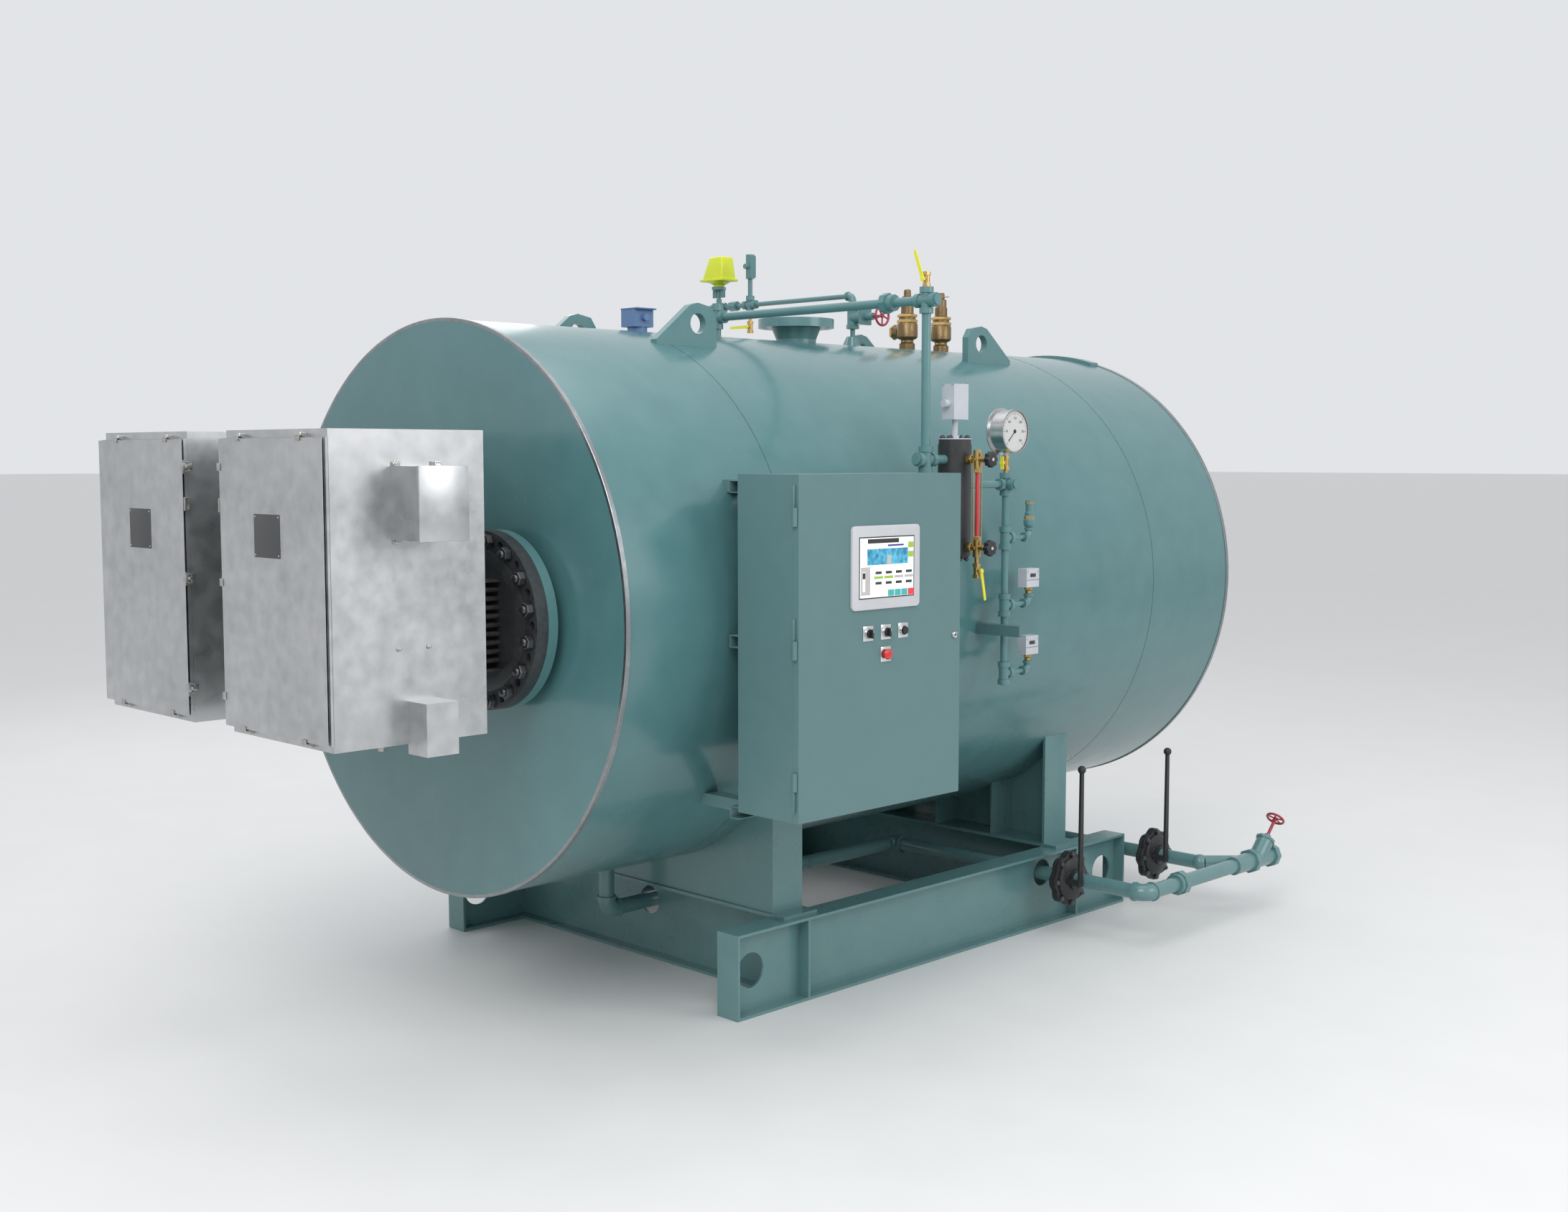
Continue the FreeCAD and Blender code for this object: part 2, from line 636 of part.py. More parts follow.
def terminal_box(side):
    """A sheet box, open at the front where its door closes it, with an inward lip."""
    middle = (side * d.element_x, d.box_back - d.box_depth / 2, (d.box_low + d.box_high) / 2)
    tall = d.box_high - d.box_low
    wide = 2 * d.box_half
    shell = slab(middle, (wide, d.box_depth, tall))
    hollow = box((middle[0] - d.box_half + d.box_wall, d.box_back - d.box_depth + d.box_wall,
                  d.box_low + d.box_wall),
                 (wide - 2 * d.box_wall, d.box_depth - 2 * d.box_wall, tall - 2 * d.box_wall))
    mouth = box((middle[0] - d.box_half + d.box_lip, d.box_back - d.box_depth - 1,
                 d.door_low + d.box_lip),
                (wide - 2 * d.box_lip, d.box_wall + 2,
                 d.door_high - d.door_low - 2 * d.box_lip))
    return cut(shell, hollow, mouth)


def terminal_door(side):
    """The box's door, its hinge barrel on the outer edge and its clamps on the other."""
    face_y = d.box_back - d.box_depth - d.door_gap
    middle_x = side * d.element_x
    tall = d.door_high - d.door_low
    middle_z = (d.door_high + d.door_low) / 2
    free_x = middle_x - side * d.box_half
    hinge_x = middle_x + side * (d.box_half + d.hinge_radius / 2)
    solids = [slab((middle_x, face_y - d.door_thick / 2, middle_z),
                   (2 * d.box_half, d.door_thick, tall)),
              rod((hinge_x, face_y - d.door_thick / 2, d.door_low), "+z", d.hinge_radius, tall)]
    clamp_x = free_x - side * (d.clamp_thick / 2 + d.door_gap)
    for share in (0.1, 0.5, 0.9):
        z = d.door_low + share * tall
        solids.append(slab((clamp_x, face_y + d.clamp_width / 2 - d.door_thick, z),
                           (d.clamp_thick, d.clamp_width + d.door_thick, d.clamp_height)))
        solids.append(slab((clamp_x + side * d.clamp_thick, face_y - d.door_thick
                            - d.clamp_thick / 2, z),
                           (3 * d.clamp_thick, d.clamp_thick, d.clamp_height)))
    return fuse(*solids)


def side_boxes(side):
    """The disconnect housing and the cable outlet box on the outer side of a terminal box."""
    wall_x = side * (d.element_x + d.box_half)
    upper = slab((wall_x + side * d.disconnect_depth / 2, d.disconnect_y,
                  (d.disconnect_low + d.disconnect_high) / 2),
                 (d.disconnect_depth, d.disconnect_length, d.disconnect_high - d.disconnect_low))
    lower = slab((wall_x + side * d.outlet_box_depth / 2, d.outlet_box_y,
                  (d.outlet_box_low + d.outlet_box_high) / 2),
                 (d.outlet_box_depth, d.outlet_box_length, d.outlet_box_high - d.outlet_box_low))
    return [upper, lower]


def build_elements():
    sides = (("right", 1), ("left", -1))
    piece("element_nozzles", group(*[element_nozzle(side) for _, side in sides]))
    piece("element_flanges", group(*[element_flange(side) for _, side in sides]))
    piece("element_banks", group(*[element_bank(side) for _, side in sides]))
    for word, side in sides:
        piece(f"terminal_box_{word}", terminal_box(side))
        piece(f"terminal_door_{word}", terminal_door(side))
    piece("side_boxes", group(*[solid for _, side in sides for solid in side_boxes(side)]))


# ---------------------------------------------------------------- control panel

def panel_box():
    back = d.panel_face - d.panel_depth
    deep = d.panel_depth - d.panel_door_thick - d.door_gap
    tall = d.panel_high - d.panel_low
    shell = box((back, d.panel_front_y, d.panel_low), (deep, d.panel_width, tall))
    hollow = box((back + d.panel_wall, d.panel_front_y + d.panel_wall,
                  d.panel_low + d.panel_wall),
                 (deep - 2 * d.panel_wall, d.panel_width - 2 * d.panel_wall,
                  tall - 2 * d.panel_wall))
    mouth = box((back + deep - d.panel_wall - 1, d.panel_front_y + d.panel_lip,
                 d.panel_low + d.panel_lip),
                (d.panel_wall + 2, d.panel_width - 2 * d.panel_lip, tall - 2 * d.panel_lip))
    return cut(shell, hollow, mouth)


def stop_bore():
    """The round hole that the stop button's stem slides in, right through the door."""
    return rod((d.panel_face + d.switch_plate_thick, d.switch_y, d.stop_z), "-x",
               d.stop_bore_radius, d.switch_plate_thick + d.panel_door_thick)


def panel_door():
    """The panel's door, with its three hinge barrels on the front edge."""
    tall = d.panel_high - d.panel_low
    leaf = box((d.panel_face - d.panel_door_thick, d.panel_front_y, d.panel_low),
               (d.panel_door_thick, d.panel_width, tall))
    barrel_x = d.panel_face - d.panel_door_thick / 2
    barrel_y = d.panel_front_y - d.panel_hinge_radius / 2
    barrels = [rod((barrel_x, barrel_y, d.panel_low + share * tall - d.panel_hinge_length / 2),
                   "+z", d.panel_hinge_radius, d.panel_hinge_length)
               for share in (0.12, 0.5, 0.88)]
    return cut(fuse(leaf, *barrels), stop_bore())


def channel(y_start, y_end, z):
    """A length of strut channel along Y, open towards the panel."""
    size = (d.strut, y_end - y_start, d.strut)
    outer = box((d.strut_x, y_start, z - d.strut / 2), size)
    inner = box((d.strut_x + d.strut_wall, y_start - 1, z - d.strut / 2 + d.strut_wall),
                (d.strut, y_end - y_start + 2, d.strut - 2 * d.strut_wall))
    return cut(outer, inner)


def stand_off(y, z):
    """A block between the jacket and a strut."""
    inner_x = d.jacket_radius * d.strut_inset
    block = slab(((inner_x + d.strut_x) / 2, y, z),
                 (d.strut_x - inner_x, d.stand_off, d.strut))
    return cut(block, jacket_core())


def pipe_strut():
    """The strut that runs out from the jacket to hold the pressure control pipe."""
    y = d.manifold_y - d.manifold_radius - d.strut - d.strut_wall / 3
    inner_x = d.jacket_radius * d.strut_inset
    outer = box((inner_x, y, d.pipe_strut_z - d.strut / 2),
                (d.pipe_strut_end - inner_x, d.strut, d.strut))
    slot = box((inner_x - 1, y + d.strut_wall, d.pipe_strut_z - d.strut / 2 + d.strut_wall),
               (d.pipe_strut_end - inner_x + 2, d.strut, d.strut - 2 * d.strut_wall))
    return cut(outer, slot, jacket_core())


def panel_struts():
    front, back = d.panel_front_y, d.panel_front_y + d.panel_width
    rails = []
    for z in (d.strut_low_z, d.strut_mid_z, d.strut_top_z):
        blocks = [stand_off(y, z) for y in (front + 2 * d.stand_off, back - 2 * d.stand_off)]
        rails.append(fuse(channel(front, back, z), *blocks))
    return group(*rails, pipe_strut())


def selector_switch(index):
    face = d.panel_face
    y = d.switch_y + (index - 1) * d.switch_pitch
    grip = slab((face + d.switch_plate_thick + d.door_gap + d.switch_reach * 3 / 4, y, d.switch_z),
                (d.switch_reach / 2, 8, 2 * d.switch_radius - 2))
    return fuse(rod((face + d.switch_plate_thick + d.door_gap, y, d.switch_z), "+x",
                    d.switch_radius, d.switch_reach / 2), grip)


def operator_panel():
    """Screen bezel and the legend plates of the switches, flat on the door."""
    face = d.panel_face
    solids = [slab((face + d.screen_thick / 2, d.screen_y, d.screen_z),
                   (d.screen_thick, d.screen_width, d.screen_height))]
    for index in range(3):
        y = d.switch_y + (index - 1) * d.switch_pitch
        solids.append(slab((face + d.switch_plate_thick / 2, y, d.switch_z),
                           (d.switch_plate_thick, d.switch_plate, d.switch_plate)))
    ring = rod((face, d.switch_y, d.stop_z), "+x", d.stop_radius + 6, d.switch_plate_thick)
    solids.append(cut(ring, stop_bore()))
    return group(*solids)


def stop_button():
    back = (d.panel_face + d.switch_plate_thick - d.stop_travel, d.switch_y, d.stop_z)
    head = d.stop_reach / 2
    return fuse(rod(back, "+x", d.stop_stem_radius, d.stop_travel + d.stop_reach),
                rod(shift(back, "+x", d.stop_travel + head), "+x", d.stop_radius, head))


def build_panel():
    piece("panel_box", panel_box())
    piece("panel_door", panel_door())
    piece("panel_struts", panel_struts())
    piece("operator_panel", operator_panel())
    for index, word in enumerate(("left", "middle", "right")):
        piece(f"selector_{word}", selector_switch(index))
    piece("stop_button", stop_button())


# ---------------------------------------------------------------- ball valves

def ball_valve(at, way, side_way):
    """A bronze body along one way with a stem boss on its side; at is its middle."""
    half = d.valve_length / 2
    start = shift(at, OPPOSITE[way], half)
    return fuse(rod(start, way, d.valve_radius * 0.85, d.valve_length),
                prism(start, way, 8, d.valve_radius * 1.08, half / 2),
                prism(shift(at, way, half / 2), way, 8, d.valve_radius * 1.08, half / 2),
                rod(at, side_way, d.valve_radius * 0.6, d.lever_stand_off))


def valve_lever(at, side_way, lean):
    """A flat lever on a valve's stem: it lies across side_way and points along +Z, turned
    by lean degrees about the stem."""
    hub = shift(at, side_way, d.lever_stand_off + d.lever_gap)
    about = FreeCAD.Rotation(WAY[side_way], lean)
    arm_role = {"+x": "YZ_Plane", "-x": "YZ_Plane", "+y": "XZ_Plane", "-y": "XZ_Plane"}
    half, reach = d.lever_width / 2, d.lever_length
    outline = [(-half, -half), (half, -half), (half * 0.8, reach), (-half * 0.8, reach)]
    arm = padded(shift(hub, side_way, d.lever_hub / 2), arm_role[side_way], outline, d.lever_thick)
    place(arm, shift(hub, side_way, d.lever_hub / 2), about)
    return fuse(arm, rod(hub, side_way, d.lever_width * 0.62, d.lever_hub))


def tee_handle(at, side_way):
    """A short wing handle, as long above its stem as below it."""
    hub = shift(at, side_way, d.lever_stand_off + d.lever_gap)
    wing = slab(shift(hub, side_way, d.lever_hub / 2),
                (d.lever_width, d.lever_thick, 2 * d.tee_handle_half))
    return fuse(wing, rod(hub, side_way, d.lever_width * 0.62, d.lever_hub))


# ---------------------------------------------------------------- equalizing line and column

def column_body():
    """The plain barrel of the water column, which pipes are cut to."""
    return rod((d.column_x, d.column_y, d.column_low), "+z", d.column_radius,
               d.column_high - d.column_low)


def equalizing_line():
    """From the crown across to the column: riser, tee, union, cross, drop leg and tee."""
    radius, y = d.line_radius, d.line_y
    column = (d.column_x, y, d.line_z)
    low_tee = (d.column_x, y, d.line_tee_z)
    foot = d.axis_height + d.jacket_radius * 0.98
    solids = [rod((0, y, foot), "+z", radius, d.line_z - foot),
              rod((0, y, d.line_z), "+x", radius, d.column_x),
              rod(low_tee, "+z", radius, d.line_z - d.line_tee_z),
              cut(rod(low_tee, "+y", radius, d.column_y - y - d.column_radius / 2),
                  column_body())]
    solids += tee((0, y, d.line_z), ("+z", "-z", "+x"), radius)
    solids += plug((0, y, d.line_z), "+z", radius)
    solids += tee(column, ("-x", "+x", "+z", "-z"), radius)
    solids += plug(column, "+x", radius)
    solids += tee(low_tee, ("+z", "-z", "+y", "-y"), radius)
    solids += plug(low_tee, "-y", radius) + plug(low_tee, "-z", radius)
    solids += [prism((d.union_x, y, d.line_z), "+x", 8, d.union_radius, d.union_length / 2),
               rod((d.union_x, y, d.line_z), "+x", d.union_radius - 8, d.union_length)]
    return cut(fuse(*solids), jacket_core())


def water_column():
    """A flanged chamber with a lower leg into the vessel's side."""
    rim, flange = d.column_high, d.column_flange_thick
    at = (d.column_x, d.column_y, 0)
    outline = [(0, d.column_low), (d.column_radius - 12, d.column_low),
               (d.column_radius, d.column_low + 12), (d.column_radius, rim - 2 * flange),
               (d.column_flange_radius, rim - 2 * flange), (d.column_flange_radius, rim),
               (0, rim)]
    body = turned(at, outline)
    leg = rod((d.jacket_radius * 0.9, d.column_y, d.lower_leg_z), "+x", d.line_radius,
              d.column_x - d.jacket_radius * 0.9)
    collar = rod((d.jacket_radius * 0.9, d.column_y, d.lower_leg_z), "+x",
                 d.line_radius + d.collar_wall, d.jacket_radius * 0.13)
    return cut(fuse(body, leg, collar), jacket_core())


def level_probe():
    foot = (d.column_x, d.column_y, d.column_high)
    low = d.column_high + d.probe_stem
    housing = slab((d.column_x, d.column_y, low + d.probe_box_z / 2),
                   (d.probe_box_x, d.probe_box_y, d.probe_box_z))
    hub_at = (d.column_x, d.column_y - d.probe_box_y / 2, low + d.probe_box_z * 0.45)
    return fuse(housing, rod(foot, "+z", d.probe_stem_radius, d.probe_stem),
                prism(foot, "+z", 6, d.probe_stem_radius * 2, 14),
                rod(hub_at, "-y", d.probe_hub_radius, d.probe_hub_reach))


def glass_valves():
    """The two gauge-glass valves, their shanks into the column and the guard rods."""
    solids = []
    shank = d.glass_x - d.column_x - d.column_radius
    for z in (d.upper_cock_z, d.lower_cock_z):
        at = (d.glass_x, d.column_y, z)
        solids += [rod(shift(at, "-z", d.cock_half), "+z", d.cock_radius, 2 * d.cock_half),
                   rod(at, "-x", d.cock_radius * 0.7, shank),
                   prism(shift(at, "-x", shank), "+x", 6, d.cock_radius * 1.2, 14),
                   rod(at, "+x", d.cock_radius * 0.75, d.knob_reach - d.knob_thick / 2),
                   slab(at, (12, 2 * d.guard_spread + 8, 10))]
    for side in (-1, 1):
        start = (d.glass_x, d.column_y + side * d.guard_spread, d.lower_cock_z)
        solids.append(rod(start, "+z", d.guard_radius, d.upper_cock_z - d.lower_cock_z))
    low_end = shift((d.glass_x, d.column_y, d.lower_cock_z), "-z", d.cock_half)
    drain = low_end[2] - d.column_drain_z
    solids.append(rod((d.glass_x, d.column_y, d.column_drain_z), "+z",
                      d.valve_radius * 0.6, drain))
    glass = rod((d.glass_x, d.column_y, d.glass_low), "+z", d.glass_radius,
                d.glass_high - d.glass_low)
    return cut(fuse(*solids), glass)


def gauge_knob(z):
    """A black hand knob that turns on the valve's stem."""
    start = d.knob_reach - d.knob_thick / 2 + d.spindle_gap
    return rod((d.glass_x + start, d.column_y, z), "+x", d.knob_radius, d.knob_thick)


def build_column():
    piece("equalizing_line", equalizing_line())
    piece("water_column", water_column())
    piece("level_probe_head", level_probe())
    piece("gauge_glass_valves", glass_valves())
    piece("gauge_glass", rod((d.glass_x, d.column_y, d.glass_low), "+z", d.glass_radius,
                             d.glass_high - d.glass_low))
    piece("gauge_knob_upper", gauge_knob(d.upper_cock_z))
    piece("gauge_knob_lower", gauge_knob(d.lower_cock_z))


# ---------------------------------------------------------------- pressure manifold

def manifold():
    """The stand pipe with its cross, tees, plugs and elbows to the relief valve and limits."""
    radius = d.manifold_radius
    foot = (d.column_x, d.manifold_y, d.manifold_low)
    cross = (d.column_x, d.manifold_y, d.manifold_cross_z)
    solids = [rod(foot, "+z", radius, d.manifold_cross_z - d.manifold_low),
              cut(rod(cross, "-y", radius, d.manifold_y - d.column_y - d.column_radius / 2),
                  column_body())]
    solids += tee(cross, ("+z", "-z", "+x", "-y"), radius) + plug(cross, "+x", radius)
    ends = ((d.manifold_tee_z, d.relief_base), (d.switch_tee_z, d.switch_tee_z + d.limit_rise),
            (d.switch_tee_low_z, d.switch_tee_low_z + d.limit_rise))
    for z, top in ends:
        at = (d.column_x, d.manifold_y, z)
        solids += tee(at, ("+z", "-z", "+y"), radius)
        thin = radius * 0.7
        solids += pipe(at, [("+y", d.manifold_reach), ("+z", top - z)], thin, d.manifold_bend)
    return fuse(*solids)


def pressure_gauge():
    """A dial gauge that faces +X, on a short stem."""
    at = (d.column_x - d.gauge_back, d.manifold_y, d.gauge_z)
    bezel = d.gauge_depth / 6
    outline = [(0, 0), (d.gauge_rim_radius, 0), (d.gauge_rim_radius, d.gauge_rim_thick),
               (d.gauge_radius * 0.96, d.gauge_rim_thick), (d.gauge_radius * 0.96,
                                                            d.gauge_depth - bezel),
               (d.gauge_radius, d.gauge_depth - bezel), (d.gauge_radius, d.gauge_depth),
               (d.gauge_radius * 0.93, d.gauge_depth), (d.gauge_radius * 0.93,
                                                        d.gauge_depth - bezel / 2),
               (0, d.gauge_depth - bezel / 2)]
    case = turned(at, outline, FreeCAD.Rotation(Z, X))
    stem_foot = d.gauge_cock_z + d.valve_length / 2
    stem = rod((d.column_x, d.manifold_y, stem_foot), "+z", d.valve_radius * 0.7,
               d.gauge_z - stem_foot)
    return fuse(case, stem)


def relief_valve():
    at = (d.column_x, d.manifold_y + d.manifold_reach, d.relief_base)
    radius, tall = d.relief_radius, d.relief_height
    outline = [(0, 0), (radius * 0.9, 0), (radius * 1.3, tall * 0.1), (radius * 1.3, tall * 0.25),
               (radius, tall * 0.35), (radius, tall * 0.55), (radius * 0.85, tall * 0.58),
               (radius * 0.85, tall), (0, tall)]
    return turned(at, outline)


def pressure_limits():
    boxes = []
    for z in (d.switch_tee_z, d.switch_tee_low_z):
        low = z + d.limit_rise
        boxes.append(slab((d.column_x, d.manifold_y + d.manifold_reach, low + d.limit_z / 2),
                          (d.limit_x, d.limit_y, d.limit_z)))
    return group(*boxes)


def build_manifold():
    piece("control_manifold", manifold())
    piece("pressure_gauge", pressure_gauge())
    piece("relief_valve", relief_valve())
    piece("pressure_limits", pressure_limits())


# ---------------------------------------------------------------- feed line

def hand_wheel(at, rotation, radius):
    """A spoked wheel: rim, hub and spokes, in its own plane about its own Z."""
    spin = FreeCAD.Placement(FreeCAD.Vector(), rotation)
    rim = torus(at, rotation, radius - d.wheel_rim, d.wheel_rim)
    hub_at = [number + part for number, part in
              zip([as_size(item) for item in at], spin.multVec(FreeCAD.Vector(0, 0, -5)))]
    hub = rod(hub_at, None, d.wheel_hub, 10, rotation)
    spokes = []
    count = int(d.wheel_spokes.value)
    for index in range(count):
        lean = rotation * FreeCAD.Rotation(Z, 360.0 * index / count) * FreeCAD.Rotation(Z, X)
        spokes.append(rod(at, None, d.wheel_rim * 0.7, radius - d.wheel_rim, lean))
    return fuse(rim, hub, *spokes)


def feed_yoke():
    """The yoke between the feed valve and its actuator: a post, two wings and a collar."""
    y = d.feed_y
    top = d.actuator_z - 14
    solids = [rod((d.feed_valve_x, y, d.yoke_z), "+z", 9, top - d.yoke_z),
              prism((d.feed_valve_x, y, top), "+z", 6, 34, 14)]
    for side in (-1, 1):
        solids.append(slab((d.feed_valve_x + side * 26, y, top - 18), (26, 8, 36)))
    return fuse(*solids)


def feed_line():
    """Feed inlet, valve body, coupling, tee, run to the elbow and drop to the crown."""
    radius, y, z = d.feed_radius, d.feed_y, d.feed_z
    foot = d.axis_height + d.jacket_radius * 0.98
    start = (d.feed_valve_x - 60, y, z)
    legs = [("+x", 0 - start[0]), ("-z", z - foot)]
    solids = pipe(start, legs, radius, d.feed_bend)
    valve = (d.feed_valve_x, y, z)
    solids += [prism(shift(valve, "-x", 46), "+x", 6, radius * 2, 22),
               prism(shift(valve, "+x", 24), "+x", 6, radius * 2, 22),
               ball(valve, radius * 2.4),
               rod(valve, "+z", radius * 1.2, d.yoke_z - z),
               prism((d.feed_tee_x - 130, y, z), "+x", 8, radius * 2.1, 46)]
    solids += tee((d.feed_tee_x, y, z), ("-x", "+x", "+z", "-z"), radius)
    solids.append(cone((0, y, foot), "+z", radius * 3.4, radius * 2, 60))
    inlet = rod(start, "+x", d.feed_inlet_radius, d.feed_inlet_depth)
    return cut(fuse(*solids, feed_yoke()), jacket_core(), inlet)


def actuator():
    """The actuator's hood: flat-topped, its far side sloped."""
    half_y = d.actuator_y / 2
    half_x = d.actuator_x / 2
    low, high = d.actuator_z, d.actuator_high
    at = (d.feed_valve_x, d.feed_y, 0)
    outline = [(-half_x + 6, low + 12), (half_x - 6, low + 12), (half_x - 10, high),
               (-half_x + d.actuator_slope, high)]
    hood = padded(at, "XZ_Plane", outline, d.actuator_y - 14)
    lip = box((d.feed_valve_x - half_x, d.feed_y - half_y, low + 6),
              (d.actuator_x, d.actuator_y, 12))
    base = slab((d.feed_valve_x, d.feed_y, low + 4), (d.actuator_x * 0.62, d.actuator_y * 0.7, 8))
    return fuse(hood, lip, base)


def conduit_body():
    """The riser from the tee to the oval conduit body with its side hub."""
    at = (d.feed_tee_x, d.feed_y, 0)
    low = d.feed_z + tee_reach(d.feed_radius)
    middle_z = (d.conduit_low + d.conduit_high) / 2
    radius = d.conduit_radius
    tall = d.conduit_high - d.conduit_low
    return fuse(rod((at[0], at[1], low), "+z", d.feed_radius, d.conduit_low - low),
                rod((at[0], at[1], d.conduit_low), "+z", radius, tall),
                slab((at[0] + radius / 2, at[1], middle_z), (radius, radius * 1.7, tall * 0.9)),
                rod((at[0], at[1], middle_z), "-y", radius * 0.6, radius + 14))


def gate_valve():
    """The gate valve in the drop leg: body, bonnet and stem towards +X."""
    at = (0, d.feed_y, d.gate_z)
    solids = [rod(shift(at, "-z", d.gate_half), "+z", d.gate_body, 2 * d.gate_half),
              prism(shift(at, "-z", d.gate_half), "+z", 8, d.gate_body * 1.15, 18),
              prism(shift(at, "+z", d.gate_half - 18), "+z", 8, d.gate_body * 1.15, 18),
              rod(at, "+x", d.bonnet_radius, d.bonnet_reach * 0.55),
              slab(shift(at, "+x", d.bonnet_reach * 0.6),
                   (14, 2.6 * d.bonnet_radius, 2.6 * d.bonnet_radius)),
              rod(at, "+x", d.bonnet_radius * 0.6, d.bonnet_reach)]
    drop = rod((0, d.feed_y, d.axis_height), "+z", d.feed_radius, d.feed_z - d.axis_height)
    return cut(fuse(*solids), drop)


def gate_wheel():
    stem_end = d.bonnet_reach + d.lever_gap
    at = (d.gate_wheel_x, d.feed_y, d.gate_z)
    wheel = hand_wheel(at, FreeCAD.Rotation(Z, X), d.gate_wheel_radius)
    return fuse(wheel, rod((stem_end, d.feed_y, d.gate_z), "+x", 5, d.gate_wheel_x - stem_end))


def build_feed():
    piece("feed_line", feed_line())
    piece("feed_actuator", actuator())
    piece("conduit_body", conduit_body())
    piece("gate_valve", gate_valve())
    piece("gate_wheel", gate_wheel())


# ---------------------------------------------------------------- safety valves, level switch

def safety_valve(y):
    """A bronze safety valve: inlet neck, body, bonnet, cap and side outlet towards -X."""
    radius = d.safety_radius
    foot = d.jacket_radius * 0.98
    top = d.safety_height
    base = d.jacket_radius + 10
    outline = [(0, foot), (radius * 0.75, foot), (radius * 0.75, base), (radius * 0.52, base),
               (radius * 0.52, base + 26), (radius, base + 46), (radius, base + 104),
               (radius * 0.76, base + 110), (radius * 0.76, base + 136),
               (radius * 0.53, base + 142), (radius * 0.53, base + 196),
               (radius * 0.34, base + 200), (radius * 0.34, top), (0, top)]
    body = turned((0, y, d.axis_height), outline)
    outlet_at = (0, y, d.axis_height + base + 72)
    mouth = shift(outlet_at, "-x", d.safety_reach)
    return cut(fuse(body, rod(outlet_at, "-x", radius * 0.72, d.safety_reach)), jacket_core(),
               rod(mouth, "+x", d.safety_bore, d.safety_bore_depth))


def level_switch():
    """The level switch housing on its pedestal."""
    foot = d.axis_height + d.jacket_radius * 0.98
    housing = slab((0, d.level_y, (d.level_low + d.level_high) / 2),
                   (d.level_x_size, d.level_y_size, d.level_high - d.level_low))
    post = rod((0, d.level_y, foot), "+z", d.pedestal_radius, d.level_low - foot)
    hub = rod((d.level_x_size / 2, d.level_y, (d.level_low + d.level_high) / 2), "+x", 13, 16)
    return cut(fuse(housing, post, hub), jacket_core())


def build_crown():
    valves = [safety_valve(d.safety_y), safety_valve(d.safety_y + d.safety_spacing)]
    piece("safety_valves", group(*valves))
    piece("level_switch", level_switch())


# ---------------------------------------------------------------- ball valves in their places

def build_ball_valves():
    vent = (d.column_x, d.line_y, d.line_z + tee_reach(d.line_radius) + d.valve_length / 2)
    feed_drain = (d.feed_tee_x, d.feed_y, d.feed_drain_z)
    column_drain = (d.glass_x, d.column_y, d.column_drain_z - d.valve_length / 2)
    gauge_cock = (d.column_x, d.manifold_y, d.gauge_cock_z)
    feed_low = d.feed_z - tee_reach(d.feed_radius)
    nipple_low = d.feed_drain_z + d.valve_length / 2
    manifold_top = d.manifold_cross_z + tee_reach(d.manifold_radius)
    cock_low = d.gauge_cock_z - d.valve_length / 2
    drain_nipple = rod((feed_drain[0], feed_drain[1], nipple_low), "+z", 8,
                       feed_low - nipple_low)
    gauge_nipple = rod((d.column_x, d.manifold_y, manifold_top), "+z", 8,
                       cock_low - manifold_top)
    piece("ball_valves", group(ball_valve(vent, "+z", "-y"),
                               fuse(ball_valve(feed_drain, "+z", "-y"), drain_nipple),
                               ball_valve(column_drain, "+z", "+x"),
                               fuse(ball_valve(gauge_cock, "+z", "-y"), gauge_nipple)))
    piece("vent_lever", valve_lever(vent, "-y", 20))
    piece("feed_drain_lever", valve_lever(feed_drain, "-y", 90))
    piece("column_drain_lever", valve_lever(column_drain, "+x", 192))
    piece("gauge_cock_handle", tee_handle(gauge_cock, "-y"))


# ---------------------------------------------------------------- blowdown

def front_drain():
    """From the vessel's underside through the cross beam and the right side beam."""
    top = d.axis_height - d.jacket_radius * 0.98
    start = (d.drain_x, d.drain_riser_y, top)
    end = d.blow_x - d.blow_body_thick / 2
    solids = pipe(start, [("-z", top - d.drain_z), ("+y", d.drain_cross_y - d.drain_riser_y),
                          ("+x", end - d.drain_x)], d.drain_radius, d.drain_bend)
    return cut(fuse(*solids), jacket_core())


def rear_drain():
    """From the vessel's underside behind the skid out to the right."""
    top = d.axis_height - d.jacket_radius * 0.98
    start = (d.rear_drain_x, d.rear_drain_y, top)
    end = d.blow_x - d.blow_body_thick / 2
    solids = pipe(start, [("-z", top - d.drain_z), ("+x", end - d.rear_drain_x)],
                  d.drain_radius, d.drain_bend)
    return cut(fuse(*solids), jacket_core())


def blowdown_valve(y):
    """A quick-opening valve: two bolted rims on a flat body, with the lever's pivot boss."""
    at = (d.blow_x, y, d.drain_z)
    back = shift(at, "-x", d.blow_body_thick / 2)
    solids = [rod(back, "+x", d.blow_body_radius, d.blow_body_thick),
              rod(back, "+x", d.blow_rim_radius, d.blow_rim_thick),
              rod((d.blow_x, y - d.blow_shaft_offset, d.drain_z), "+x", d.blow_shaft_radius,
                  d.blow_body_thick / 2 + d.blow_shaft_reach)]
    return fuse(*solids)


